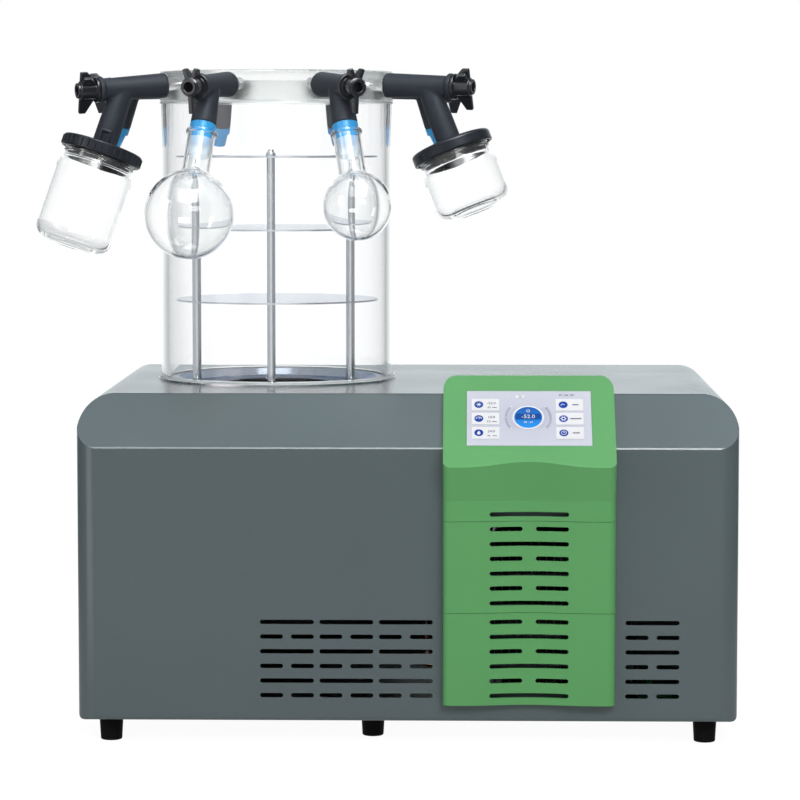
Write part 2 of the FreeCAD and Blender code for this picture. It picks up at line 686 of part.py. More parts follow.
def head_form(inset, face_inset, low):
    """The console head's form, with its sloped face set back by face_inset."""
    half = CONSOLE_WIDTH / 2 - inset
    top, back = HEAD_TOP_Z - inset, HEAD_TOP_BACK_Y - inset
    plan = console_plan(inset, FRONT_Y + FACET)
    straight = plan_prism(plan, low, Z_AXIS * (UNDERCUT_Z - low))
    height = HEAD_TOP_Z - UNDERCUT_Z
    leaning = plan_prism(plan, UNDERCUT_Z, Vector(0, -UNDERCUT_SLOPE * height, height))
    rear = box((CONSOLE_X - half, CONSOLE_X + half), (FRONT_Y - CONSOLE_FLANK, back), (UNDERCUT_Z, top))
    on_face = HEAD_TOP_EDGE - SLOPE_NORMAL * face_inset
    per_rise = math.tan(HEAD_ANGLE)
    front_top_y = on_face.y + (top - on_face.z) * per_rise
    reach = top - low + 20
    slope = [
        (front_top_y - reach * per_rise, top - reach, 0),
        (front_top_y, top, HEAD_EDGE_R if inset == 0 else 0),
        (back, top, HEAD_EDGE_R if inset == 0 else 0),
        (back, top - reach, 0),
    ]
    keep = side_prism(slope, CONSOLE_X - half, CONSOLE_X + half)
    corner_r = HEAD_CORNER_R - inset
    outline = [
        (CONSOLE_X - half, low, 0),
        (CONSOLE_X + half, low, 0),
        (CONSOLE_X + half, top, corner_r),
        (CONSOLE_X - half, top, corner_r),
    ]
    face_outline = front_prism(outline, FRONT_Y - 60, back)
    return fuse([straight, leaning, rear]).common(keep).common(face_outline)


def on_screen(width, height, depth_low, depth_high):
    """A slab centred on the screen, between two depths along the slope's normal."""
    slab = Part.makeBox(width, height, depth_high - depth_low, Vector(-width / 2, -height / 2, depth_low))
    slab.rotate(ORIGIN, X_AXIS, 90 - HEAD_TILT)
    slab.translate(SCREEN_CENTRE)
    return slab


def console_head():
    low = SEAM_UPPER_Z + SEAM_GAP / 2
    outer = head_form(0, 0, low)
    inner = head_form(CONSOLE_WALL, HEAD_FACE_WALL, low - 1)
    pocket = on_screen(
        SCREEN_WIDTH + 2 * SCREEN_CLEARANCE, SCREEN_HEIGHT + 2 * SCREEN_CLEARANCE, -SCREEN_THICKNESS, 5
    )
    window_size = (SCREEN_WIDTH - 2 * SCREEN_LEDGE, SCREEN_HEIGHT - 2 * SCREEN_LEDGE)
    window = on_screen(*window_size, -HEAD_FACE_WALL - 2, 0)
    head = outer.cut([inner, pocket, window, cabinet_form(0, CABINET_BOTTOM)])
    return head.cut(grille_cutters(UPPER_GRILLE_TOP_Z, 1, False))


def touch_screen():
    return on_screen(SCREEN_WIDTH, SCREEN_HEIGHT, -SCREEN_THICKNESS, 0)


def display_board():
    back = -HEAD_FACE_WALL
    board = on_screen(SCREEN_WIDTH + 4, SCREEN_HEIGHT + 4, back - BOARD_THICKNESS, back)
    chip = on_screen(26, 26, back - BOARD_THICKNESS - BOARD_CHIP, back - BOARD_THICKNESS)
    panel = on_screen(
        SCREEN_WIDTH - 2 * SCREEN_LEDGE - 2, SCREEN_HEIGHT - 2 * SCREEN_LEDGE - 2, back, -SCREEN_THICKNESS
    )
    return fuse([board, chip, panel])


# ---- cold trap ----
def vacuum_bore(radius):
    """The vacuum tube's bore, from the trap's axis out through the back."""
    return cylinder(radius, at_chamber(VACUUM_PORT_Z), Y_AXIS, REAR_FACE_Y + VACUUM_PORT_REACH - CHAMBER_Y)


def coil_pipe_bore(z, radius):
    """A hole through the jacket's right-hand wall."""
    return cylinder(radius, at_chamber(z, COIL_CIRCLE_R), X_AXIS, JACKET_OUTER_R)


def cold_trap():
    outer = [
        (0, TRAP_BOTTOM_Z, 0),
        (TRAP_OUTER_R, TRAP_BOTTOM_Z, 8),
        (TRAP_OUTER_R, CABINET_TOP, 0),
        (TRAP_FLANGE_R, CABINET_TOP, 0),
        (TRAP_FLANGE_R, FLANGE_TOP, 0),
        (0, FLANGE_TOP, 0),
    ]
    inner = [
        (0, TRAP_FLOOR_Z, 0),
        (TRAP_INNER_R, TRAP_FLOOR_Z, 6),
        (TRAP_INNER_R, FLANGE_TOP + 1, 0),
        (0, FLANGE_TOP + 1, 0),
    ]
    vessel = turned(outer, at_chamber(0)).cut(turned(inner, at_chamber(0)))
    drain_hole = cylinder(DRAIN_BORE_R, at_chamber(TRAP_BOTTOM_Z - 1), Z_AXIS, TRAP_WALL + 2)
    return vessel.cut([vacuum_bore(VACUUM_TUBE_R), drain_hole])


def vapour_guide():
    slope_bottom = GUIDE_FLOOR_TOP
    rim_top = FLANGE_TOP + GUIDE_SHEET
    sheet = GUIDE_SHEET
    tube_r = GUIDE_THROAT_R
    profile = [
        (GUIDE_RIM_R, FLANGE_TOP, 0),
        (GUIDE_RIM_R, rim_top, 0.4),
        (GUIDE_SLOPE_TOP_R, rim_top, 1.5),
        (GUIDE_FLOOR_R, slope_bottom, 4),
        (tube_r, slope_bottom, 0.5),
        (tube_r, slope_bottom - GUIDE_TUBE_LENGTH, 0),
        (tube_r + sheet, slope_bottom - GUIDE_TUBE_LENGTH, 0),
        (tube_r + sheet, slope_bottom - sheet, 1.5),
        (GUIDE_FLOOR_R + sheet / 2, slope_bottom - sheet, 5),
        (GUIDE_SLOPE_TOP_R, FLANGE_TOP, 0.3),
    ]
    return turned(profile, at_chamber(0))


def evaporator_coil():
    rings = [
        Part.makeTorus(COIL_CIRCLE_R, COIL_PIPE_R, at_chamber(COIL_BOTTOM_Z + COIL_PITCH * i))
        for i in range(COIL_TURNS)
    ]
    riser = cylinder(
        COIL_PIPE_R, at_chamber(COIL_BOTTOM_Z, COIL_CIRCLE_R), Z_AXIS, COIL_TOP_Z - COIL_BOTTOM_Z
    )
    return fuse(rings + [riser])


def insulation_jacket():
    top = CABINET_TOP - CABINET_WALL - JACKET_TOP_CLEARANCE
    bottom = TRAP_BOTTOM_Z - JACKET_WALL
    outer = cylinder(JACKET_OUTER_R, at_chamber(bottom), Z_AXIS, top - bottom)
    hollow = cylinder(JACKET_INNER_R, at_chamber(TRAP_BOTTOM_Z), Z_AXIS, top - TRAP_BOTTOM_Z + 1)
    drain_hole = cylinder(DRAIN_PIPE_R, at_chamber(bottom - 1), Z_AXIS, JACKET_WALL + 2)
    pipe_holes = [coil_pipe_bore(z, PIPE_R) for z in (COIL_BOTTOM_Z, COIL_TOP_Z)]
    return outer.cut([hollow, drain_hole, vacuum_bore(VACUUM_TUBE_R)] + pipe_holes)


def chamber_gasket():
    profile = [
        (GASKET_INNER_R, FLANGE_TOP, 0),
        (GASKET_OUTER_R, FLANGE_TOP, 0),
        (GASKET_OUTER_R, GASKET_TOP, 0.8),
        (GASKET_INNER_R, GASKET_TOP, 0.5),
    ]
    return turned(profile, at_chamber(0))


# ---- chamber ----
def chamber_tube():
    return ring(TUBE_OUTER_R, TUBE_INNER_R, at_chamber(GASKET_TOP), TUBE_TOP - GASKET_TOP)


def lid_gasket():
    return ring(TUBE_OUTER_R, TUBE_INNER_R, at_chamber(TUBE_TOP), LID_GASKET_THICKNESS)


def manifold_lid():
    edge = LID_EDGE_R
    outer = [
        (0, LID_BOTTOM_Z, 0),
        (TUBE_OUTER_R, LID_BOTTOM_Z, edge),
        (TUBE_OUTER_R, LID_TOP, edge),
        (0, LID_TOP, 0),
    ]
    cavity_top = LID_TOP - LID_PLATE
    cavity = cylinder(LID_CAVITY_R, at_chamber(LID_BOTTOM_Z - 1), Z_AXIS, cavity_top - LID_BOTTOM_Z + 1)
    bore = cylinder(NIPPLE_R, X_AXIS * (LID_CAVITY_R - 4), X_AXIS, LID_RING_WALL + 10)
    bores = [at_port(bore, port) for port in range(1, PORT_COUNT + 1)]
    return turned(outer, at_chamber(0)).cut([cavity] + bores)


def port_nipples():
    start = Vector(TUBE_OUTER_R - NIPPLE_IN, 0, 0)
    length = NIPPLE_IN + NIPPLE_OUT
    tube = cylinder(NIPPLE_R, start, X_AXIS, length).cut(cylinder(NIPPLE_BORE_R, start, X_AXIS, length))
    return Part.makeCompound([at_port(tube, port) for port in range(1, PORT_COUNT + 1)])


# ---- shelf rack ----
def rod_places():
    angles = [math.radians(a) for a in ROD_ANGLES]
    return [(ROD_CIRCLE_R * math.cos(a), ROD_CIRCLE_R * math.sin(a)) for a in angles]


def rack_foot_z():
    """Where a spacer's outer edge meets the guide's slope."""
    reach = min(ROD_CIRCLE_R + SPACER_R, GUIDE_SLOPE_TOP_R) - GUIDE_FLOOR_R
    return GUIDE_FLOOR_TOP + GUIDE_DROP * reach / (GUIDE_SLOPE_TOP_R - GUIDE_FLOOR_R) + SEAT_GAP


def shelf(level):
    plate = cylinder(SHELF_R, at_chamber(SHELF_BOTTOMS[level]), Z_AXIS, SHELF_THICKNESS)
    holes = [cylinder(ROD_R, at_chamber(SHELF_BOTTOMS[level] - 1, x, y), Z_AXIS, 4) for x, y in rod_places()]
    return plate.cut(holes)


def rack_tie_rods():
    foot = rack_foot_z()
    profile = [
        (0, foot, 0),
        (ROD_R, foot, 0),
        (ROD_R, RACK_TOP, 0),
        (DOME_NUT_R, RACK_TOP, 0),
        (DOME_NUT_R, RACK_TOP + DOME_NUT_HEIGHT, 1.0),
        (ROD_R * 1.3, RACK_TOP + DOME_NUT_HEIGHT, 0.3),
        (ROD_R * 1.2, RACK_TOP + 2 * DOME_NUT_HEIGHT, 2.0),
        (0, RACK_TOP + 2 * DOME_NUT_HEIGHT, 0),
    ]
    return Part.makeCompound([turned(profile, at_chamber(0, x, y)) for x, y in rod_places()])


def rack_spacers():
    spacers = []
    lows = [rack_foot_z()] + [z + SHELF_THICKNESS for z in SHELF_BOTTOMS[:-1]]
    for low, high in zip(lows, SHELF_BOTTOMS):
        for x, y in rod_places():
            spacers.append(ring(SPACER_R, ROD_R + SPACER_BORE_CLEARANCE, at_chamber(low, x, y), high - low))
    return Part.makeCompound(spacers)


# ---- manifold valves ----
def valve_body():
    """One moulded rubber body: a tapered barrel with a branch hanging from it."""
    bead_start = BARREL_LENGTH - BARREL_BEAD_LENGTH
    profile = [
        (0, 0, 0),
        (BARREL_R, 0, BARREL_EDGE_R),
        (BARREL_END_R, bead_start, 1.5),
        (BARREL_BEAD_R, bead_start + 2.0, 1.0),
        (BARREL_BEAD_R, BARREL_LENGTH, 1.2),
        (0, BARREL_LENGTH, 0),
    ]
    barrel = turned(profile)
    barrel.rotate(ORIGIN, Y_AXIS, 90)
    barrel.translate(X_AXIS * VALVE_START)
    branch = hanging([(0, 0, 0), (BRANCH_TOP_R, 0, 0), (BRANCH_R, BRANCH_LENGTH, 0.8), (0, BRANCH_LENGTH, 0)])
    branch_bore = cylinder(NIPPLE_R, ORIGIN, -Z_AXIS, BRANCH_LENGTH + 1)
    barrel_bore = cylinder(NIPPLE_R, X_AXIS * (VALVE_START - 1), X_AXIS, BARREL_LENGTH + 2)
    return fuse([barrel, hung(branch)]).cut([barrel_bore, hung(branch_bore)])


def valve_knob(turn):
    """One quarter-turn knob, its long paddle hanging down where turn is 0."""
    profile = [
        (0, -KNOB_END_GAP - KNOB_STEM_LENGTH, 0),
        (KNOB_STEM_R, -KNOB_END_GAP - KNOB_STEM_LENGTH, 0),
        (KNOB_STEM_R, 0, 0),
        (KNOB_FLANGE_R, 0, 0),
        (KNOB_FLANGE_R, KNOB_FLANGE, 0.8),
        (KNOB_HUB_R, KNOB_FLANGE, 0),
        (KNOB_HUB_R, KNOB_LENGTH - 3.0, 0),
        (KNOB_MOUTH_R, KNOB_LENGTH - 2.0, 0),
        (KNOB_MOUTH_R, KNOB_LENGTH, 0.8),
        (KNOB_MOUTH_BORE_R, KNOB_LENGTH, 0),
        (KNOB_MOUTH_BORE_R, KNOB_LENGTH - KNOB_MOUTH_DEPTH, 0),
        (0, KNOB_LENGTH - KNOB_MOUTH_DEPTH, 0),
    ]
    hub = turned(profile)
    hub.rotate(ORIGIN, Y_AXIS, 90)
    root_high = KNOB_LENGTH - 3.0
    root_low = root_high - WING_ROOT
    wings = []
    for angle, reach in [(-90.0, PADDLE_REACH)] + [(a, WING_REACH) for a in WING_ANGLES]:
        outline = [
            (root_low, KNOB_HUB_R - 2.5, 0),
            (root_high, KNOB_HUB_R - 2.5, 0),
            (root_high - 1.0, reach, 1.0),
            (root_high - 1.0 - WING_TIP, reach, 1.0),
            (root_low, KNOB_HUB_R + 0.5, 0),
        ]
        wing = front_prism(outline, -WING_THICKNESS / 2, WING_THICKNESS / 2)
        wing.rotate(ORIGIN, X_AXIS, angle - 90.0)
        wings.append(wing)
    knob = fuse([hub] + wings)
    knob.rotate(ORIGIN, X_AXIS, turn)
    knob.translate(X_AXIS * KNOB_START)
    return knob


def hanging(corners):
    """(radius, distance down the branch, corner radius) corners, turned about the branch."""
    return turned([(r, -s, round_r) for r, s, round_r in corners])


def flask_adapters():
    """A soft stepped plug in each branch that takes a flask, or is free for one."""
    top, collar_end = BRANCH_LENGTH - SPIGOT_LENGTH, BRANCH_LENGTH + ADAPTER_COLLAR
    tip = collar_end + ADAPTER_PLUG
    profile = [
        (ADAPTER_BORE_R, top, 0),
        (NIPPLE_R, top, 0.8),
        (NIPPLE_R, BRANCH_LENGTH, 0),
        (BRANCH_R, BRANCH_LENGTH, 0.8),
        (BRANCH_R, collar_end, 0.3),
        (ADAPTER_PLUG_R, collar_end + 0.2, 0),
        (ADAPTER_TIP_R, tip, 1.0),
        (ADAPTER_BORE_R, tip, 0),
    ]
    plug = hung(hanging(profile))
    ports = [p for p in range(1, PORT_COUNT + 1) if p not in JAR_PORTS]
    return Part.makeCompound([at_port(plug, port) for port in ports])


def bulb_face(bulb_r, neck_r, blend_r, centre_s, top_s):
    """Half the outline of a round flask: bulb, blend and neck, closed along its axis."""
    rise = math.sqrt((bulb_r + blend_r) ** 2 - (neck_r + blend_r) ** 2)
    share = bulb_r / (bulb_r + blend_r)
    meet = Vector((neck_r + blend_r) * share, 0, -centre_s + rise * share)
    blend_centre = Vector(neck_r + blend_r, 0, -centre_s + rise)
    neck_foot = Vector(neck_r, 0, -centre_s + rise)
    towards = ((meet - blend_centre).normalize() + Vector(-1, 0, 0)).normalize()
    pole = Vector(0, 0, -centre_s - bulb_r)
    side = Vector(bulb_r, 0, -centre_s)
    edges = [
        Part.Arc(pole, side, meet).toShape(),
        Part.Arc(meet, blend_centre + towards * blend_r, neck_foot).toShape(),
        Part.LineSegment(neck_foot, Vector(neck_r, 0, -top_s)).toShape(),
        Part.LineSegment(Vector(neck_r, 0, -top_s), Vector(0, 0, -top_s)).toShape(),
        Part.LineSegment(Vector(0, 0, -top_s), pole).toShape(),
    ]
    return Part.Face(Part.Wire(edges))


def flask(bulb_r, centre_s, port):
    top = BRANCH_LENGTH + ADAPTER_COLLAR + SEAT_GAP
    wall = GLASS_WALL
    outer = bulb_face(bulb_r, NECK_R, NECK_BLEND_R, centre_s, top).revolve(ORIGIN, Z_AXIS, 360)
    inner = bulb_face(bulb_r - wall, NECK_R - wall, NECK_BLEND_R + wall, centre_s, top - 1)
    rim_end = top + RIM_LENGTH
    bore_r = NECK_R - wall
    rim = hanging([(bore_r, top, 0.8), (RIM_R, top, 1.0), (RIM_R, rim_end, 1.6), (bore_r, rim_end, 0)])
    glass = outer.fuse(rim).cut(inner.revolve(ORIGIN, Z_AXIS, 360)).removeSplitter()
    return at_port(hung(glass), port)


def jar_lid(lid_r, port, ribbed):
    """A screwed cap whose stem plugs into the branch above it."""
    top, low = BRANCH_LENGTH - SPIGOT_LENGTH, JAR_LID_AT + JAR_LID_THICKNESS
    inside = JAR_LID_AT + JAR_LID_PLATE
    edge = 1.5 if ribbed else 3.5
    profile = [
        (ADAPTER_BORE_R, top, 0),
        (NIPPLE_R, top, 0.8),
        (NIPPLE_R, BRANCH_LENGTH, 0),
        (JAR_STEM_R, BRANCH_LENGTH, 1.0),
        (JAR_STEM_R, JAR_LID_AT, 2.0),
        (lid_r, JAR_LID_AT, edge),
        (lid_r, low, 1.0),
        (lid_r - JAR_LID_SKIRT_WALL, low, 0.5),
        (lid_r - JAR_LID_SKIRT_WALL, inside, 1.0),
        (ADAPTER_BORE_R, inside, 0),
    ]
    lid = hanging(profile)
    if ribbed:
        ribs = []
        for i in range(JAR_LID_RIBS):
            angle = 2 * math.pi * i / JAR_LID_RIBS
            foot = Vector(lid_r * math.cos(angle), lid_r * math.sin(angle), -low + 1.5)
            ribs.append(cylinder(JAR_RIB_R, foot, Z_AXIS, JAR_LID_THICKNESS - 3.5))
        for i in range(JAR_STEM_RIBS):
            angle = 2 * math.pi * i / JAR_STEM_RIBS
            foot = Vector(JAR_STEM_R * math.cos(angle), JAR_STEM_R * math.sin(angle), -JAR_LID_AT - 1)
            ribs.append(cylinder(JAR_RIB_R, foot, Z_AXIS, JAR_LID_AT - BRANCH_LENGTH - 3))
        lid = lid.multiFuse(ribs)
    return at_port(hung(lid), port)


def jar(jar_r, body, port):
    """A wide-mouthed glass jar with a thick base, hanging mouth up."""
    top = JAR_LID_AT + JAR_LID_PLATE + SEAT_GAP
    neck_end = JAR_LID_AT + JAR_LID_THICKNESS + JAR_NECK_BELOW_LID
    bottom = neck_end + body
    wall = JAR_WALL
    outer = [
        (0, top, 0),
        (JAR_NECK_R, top, 1.0),
        (JAR_NECK_R, neck_end, 2.0),
        (jar_r, neck_end + JAR_SHOULDER, 6.0),
        (jar_r, bottom, JAR_HEEL_R),
        (0, bottom, 0),
    ]
    inner = [
        (0, top - 1, 0),
        (JAR_NECK_R - wall, top - 1, 0),
        (JAR_NECK_R - wall, neck_end + wall, 3.0),
        (jar_r - wall, neck_end + JAR_SHOULDER + wall, 5.0),
        (jar_r - wall, bottom - JAR_BASE, JAR_HEEL_R - wall),
        (0, bottom - JAR_BASE, 0),
    ]
    punt_r = jar_r * 0.55
    punt = hanging([(0, bottom - 2.0, 0), (punt_r, bottom, 0), (punt_r, bottom + 1, 0), (0, bottom + 1, 0)])
    return at_port(hung(hanging(outer).cut([hanging(inner), punt])), port)


# ---- refrigeration ----
def condenser_coil():
    width, depth, height = CONDENSER_SIZE
    left = CONSOLE_X - width / 2
    span = (CONDENSER_FRONT_Y, CONDENSER_FRONT_Y + depth)
    pitch = (width - FIN_THICKNESS) / (CONDENSER_FINS - 1)
    solids = []
    for i in range(CONDENSER_FINS):
        x = left + pitch * i
        solids.append(box((x, x + FIN_THICKNESS), span, (PAN_TOP, PAN_TOP + height)))
    for z in condenser_tube_heights():
        start = Vector(left - 6, CONDENSER_FRONT_Y + depth / 2, z)
        solids.append(cylinder(CONDENSER_TUBE_R, start, X_AXIS, width + 12))
    return fuse(solids)


def condenser_tube_heights():
    step = CONDENSER_SIZE[2] / 6
    return [PAN_TOP + step * (i + 0.5) for i in range(6)]


def fan_frame():
    half = FAN_SIZE / 2
    y = (FAN_Y, FAN_Y + FAN_DEPTH)
    frame = box((CONSOLE_X - half, CONSOLE_X + half), y, (PAN_TOP, PAN_TOP + FAN_SIZE))
    centre = Vector(CONSOLE_X, FAN_Y - 1, FAN_Z)
    frame = frame.cut(cylinder(FAN_DUCT_R, centre, Y_AXIS, FAN_DEPTH + 2))
    hub_start = Vector(CONSOLE_X, FAN_Y + FAN_DEPTH - 8, FAN_Z)
    hub = cylinder(FAN_HUB_R, hub_start, Y_AXIS, 8)
    spokes = []
    for angle in (45, 135):
        spoke = box((-FAN_DUCT_R - 2, FAN_DUCT_R + 2), (0, 4), (-3, 3))
        spoke.rotate(ORIGIN, Y_AXIS, angle)
        spoke.translate(Vector(CONSOLE_X, FAN_Y + FAN_DEPTH - 4, FAN_Z))
        spokes.append(spoke)
    bore = cylinder(FAN_SHAFT_R, hub_start, Y_AXIS, 9)
    return fuse([frame, hub] + spokes).cut(bore)


def fan_rotor():
    front = FAN_Y + 3
    hub_end = FAN_Y + FAN_DEPTH - 9
    tip = FAN_DUCT_R - FAN_TIP_GAP
    hub = cylinder(FAN_HUB_R, Vector(CONSOLE_X, front, FAN_Z), Y_AXIS, hub_end - front)
    shaft_r, shaft_length = FAN_SHAFT_R - FAN_CLEARANCE, hub_end - front + 8
    shaft = cylinder(shaft_r, Vector(CONSOLE_X, front, FAN_Z), Y_AXIS, shaft_length)
    blades = []
    for i in range(FAN_BLADES):
        blade = box(
            (FAN_HUB_R - 2, tip),
            (-FAN_BLADE_CHORD / 2, FAN_BLADE_CHORD / 2),
            (-FAN_BLADE_THICKNESS / 2, FAN_BLADE_THICKNESS / 2),
        )
        blade.rotate(ORIGIN, X_AXIS, 90 - FAN_BLADE_PITCH)
        blade.rotate(ORIGIN, Y_AXIS, 360.0 / FAN_BLADES * i)
        blade.translate(Vector(CONSOLE_X, (front + hub_end) / 2, FAN_Z))
        blades.append(blade)
    return fuse([hub, shaft] + blades)


def compressor():
    base = PAN_TOP
    profile = [
        (0, base + COMPRESSOR_BASE, 0),
        (COMPRESSOR_R, base + COMPRESSOR_BASE, 14),
        (COMPRESSOR_R, base + COMPRESSOR_HEIGHT, 36),
        (0, base + COMPRESSOR_HEIGHT, 0),
    ]
    can = turned(profile, Vector(COMPRESSOR_X, COMPRESSOR_Y, 0))
    half = COMPRESSOR_R + 2
    plate = box(
        (COMPRESSOR_X - half, COMPRESSOR_X + half),
        (COMPRESSOR_Y - half, COMPRESSOR_Y + half),
        (base, base + COMPRESSOR_BASE + 1),
    )
    return fuse([can, plate])


def filter_drier():
    low = PAN_TOP
    profile = [
        (0, low, 0),
        (DRIER_R, low, 2),
        (DRIER_R, low + DRIER_BODY, 3),
        (PIPE_R + 1, low + DRIER_BODY + 12, 0),
        (PIPE_R + 1, low + DRIER_BODY + 20, 0),
        (0, low + DRIER_BODY + 20, 0),
    ]
    return turned(profile, Vector(DRIER_X, DRIER_Y, 0))


def refrigerant_pipes():
    """Discharge, liquid, feed and suction pipes, each ending against what it joins."""
    width, depth, _ = CONDENSER_SIZE
    heights = condenser_tube_heights()
    tube_y = CONDENSER_FRONT_Y + depth / 2
    left, right = CONSOLE_X - width / 2 - 6, CONSOLE_X + width / 2 + 6
    touch = PIPE_TOUCH
    top = PAN_TOP + COMPRESSOR_HEIGHT
    out_x, suction_x = COMPRESSOR_X + 16, COMPRESSOR_X - 16
    over = top + 26
    discharge = pipe(
        [
            Vector(out_x, COMPRESSOR_Y, top + touch),
            Vector(out_x, COMPRESSOR_Y, over),
            Vector(right + 20, COMPRESSOR_Y, over),
            Vector(right + 20, tube_y, over),
            Vector(right + 20, tube_y, heights[-1]),
            Vector(right + touch, tube_y, heights[-1]),
        ],
        PIPE_R,
        7.0,
    )
    drier_top = PAN_TOP + DRIER_BODY + 20
    liquid = pipe(
        [
            Vector(left - touch, tube_y, heights[-2]),
            Vector(left - 18, tube_y, heights[-2]),
            Vector(left - 18, DRIER_Y, heights[-2]),
            Vector(DRIER_X, DRIER_Y, heights[-2]),
            Vector(DRIER_X, DRIER_Y, drier_top + touch),
        ],
        PIPE_R,
        7.0,
    )
    riser_x = CHAMBER_X + COIL_CIRCLE_R + COIL_PIPE_R + touch
    clear_x = CHAMBER_X + JACKET_OUTER_R + 12
    feed_z = PAN_TOP + 30
    feed = pipe(
        [
            Vector(DRIER_X - DRIER_R - touch, DRIER_Y, feed_z),
            Vector(clear_x, DRIER_Y, feed_z),
            Vector(clear_x, CHAMBER_Y, feed_z),
            Vector(clear_x, CHAMBER_Y, COIL_BOTTOM_Z),
            Vector(riser_x, CHAMBER_Y, COIL_BOTTOM_Z),
        ],
        PIPE_R,
        7.0,
    )
    suction = pipe(
        [
            Vector(riser_x, CHAMBER_Y, COIL_TOP_Z),
            Vector(suction_x, CHAMBER_Y, COIL_TOP_Z),
            Vector(suction_x, COMPRESSOR_Y, COIL_TOP_Z),
            Vector(suction_x, COMPRESSOR_Y, top + touch),
        ],
        PIPE_R,
        7.0,
    )
    return Part.makeCompound([discharge, liquid, feed, suction])


# ---- electrics ----
def control_board():
    width, depth = CONTROL_BOARD_SIZE
    low = PAN_TOP + STANDOFF_HEIGHT
    x = (CONTROL_BOARD_X - width / 2, CONTROL_BOARD_X + width / 2)
    y = (CONTROL_BOARD_Y - depth / 2, CONTROL_BOARD_Y + depth / 2)
    top = low + BOARD_THICKNESS
    solids = [box(x, y, (low, top))]
    for corner_x in (x[0] + 5, x[1] - 5):
        for corner_y in (y[0] + 5, y[1] - 5):
            solids.append(cylinder(3, Vector(corner_x, corner_y, PAN_TOP), Z_AXIS, STANDOFF_HEIGHT))
    solids.append(box((x[0] + 8, x[0] + 34), (y[0] + 14, y[0] + 40), (top, top + 2)))
    solids.append(box((x[1] - 20, x[1] - 2), (y[0] + 12, y[1] - 12), (top, top + 12)))
    for i in range(3):
        solids.append(cylinder(6, Vector(x[0] + 14, y[1] - 14 - 16 * i, top), Z_AXIS, 18))
    return fuse(solids)


def power_supply():
    width, depth, height = SUPPLY_SIZE
    x = (SUPPLY_X - width / 2, SUPPLY_X + width / 2)
    y = (SUPPLY_Y - depth / 2, SUPPLY_Y + depth / 2)
    case = box(x, y, (PAN_TOP, PAN_TOP + height))
    terminals = box((x[0] + 4, x[1] - 4), (y[0] - 12, y[0]), (PAN_TOP, PAN_TOP + 14))
    slots = []
    for i in range(7):
        start = y[0] + 18 + 14 * i
        slot_z = (PAN_TOP + height - 3, PAN_TOP + height + 1)
        slots.append(box((x[0] + 8, x[1] - 8), (start, start + 5), slot_z))
    return fuse([case, terminals]).cut(slots)


def power_inlet():
    """The inlet module: a three-pin socket below the opening for the rocker."""
    plate_w, plate_h = INLET_PLATE
    body_w, body_h, body_depth = INLET_BODY
    face = REAR_FACE_Y + INLET_PLATE_THICKNESS
    plate = front_prism(
        [
            (INLET_X - plate_w / 2, INLET_Z - plate_h / 2, 4),
            (INLET_X + plate_w / 2, INLET_Z - plate_h / 2, 4),
            (INLET_X + plate_w / 2, INLET_Z + plate_h / 2, 4),
            (INLET_X - plate_w / 2, INLET_Z + plate_h / 2, 4),
        ],
        REAR_FACE_Y,
        face,
    )
    body = box(
        (INLET_X - body_w / 2, INLET_X + body_w / 2),
        (REAR_FACE_Y - body_depth, REAR_FACE_Y),
        (INLET_Z - body_h / 2, INLET_Z + body_h / 2),
    )
    socket_w, socket_h, socket_depth = INLET_SOCKET
    socket_z = INLET_Z - INLET_SOCKET_DROP
    socket = front_prism(
        [
            (INLET_X - socket_w / 2, socket_z - socket_h / 2, 5),
            (INLET_X + socket_w / 2, socket_z - socket_h / 2, 5),
            (INLET_X + socket_w / 2, socket_z + socket_h / 2, 1),
            (INLET_X - socket_w / 2, socket_z + socket_h / 2, 1),
        ],
        face - socket_depth,
        face + 1,
    )
    pins = []
    pin_y = (face - socket_depth - 1, face - 6)
    for x, z in ((-7, -1.5), (7, -1.5), (0, 2.5)):
        pin_x, pin_z = INLET_X + x, socket_z + z
        pins.append(box((pin_x - 1, pin_x + 1), pin_y, (pin_z - 2, pin_z + 2)))
    pocket_w, pocket_h = ROCKER_SIZE[0] / 2 + ROCKER_CLEARANCE, ROCKER_SIZE[1] / 2 + ROCKER_CLEARANCE
    pocket = box(
        (INLET_X - pocket_w, INLET_X + pocket_w),
        (face - ROCKER_POCKET_DEPTH, face + 1),
        (ROCKER_Z - pocket_h, ROCKER_Z + pocket_h),
    )
    bore_start = Vector(INLET_X - pocket_w - 3, ROCKER_PIVOT_Y, ROCKER_Z)
    pin_bore = cylinder(1.5, bore_start, X_AXIS, 2 * pocket_w + 6)
    return fuse([fuse([plate, body]).cut([socket, pocket, pin_bore])] + pins)


def power_switch():
    """The rocker, shown tipped to one of its two positions about a pin along X."""
    half_x, half_z = ROCKER_SIZE[0] / 2, ROCKER_SIZE[1] / 2
    low, high = -5.5, 5.0
    corners = [
        (high - 1.2, -half_z + 0.7, 1),
        (high - 2.6, 0, 12),
        (high - 1.2, half_z - 0.7, 1),
        (low, half_z - 2.5, 1),
        (low, -half_z + 2.5, 1),
    ]
    rocker = side_prism(corners, -half_x, half_x)
    pin = cylinder(1.5 - HANDLE_CLEARANCE, Vector(-half_x - 2.5, 0, 0), X_AXIS, 2 * half_x + 5)
    rocker = fuse([rocker, pin])
    rocker.rotate(ORIGIN, X_AXIS, -ROCKER_THROW / 2)
    rocker.translate(Vector(INLET_X, ROCKER_PIVOT_Y, ROCKER_Z))
    return rocker


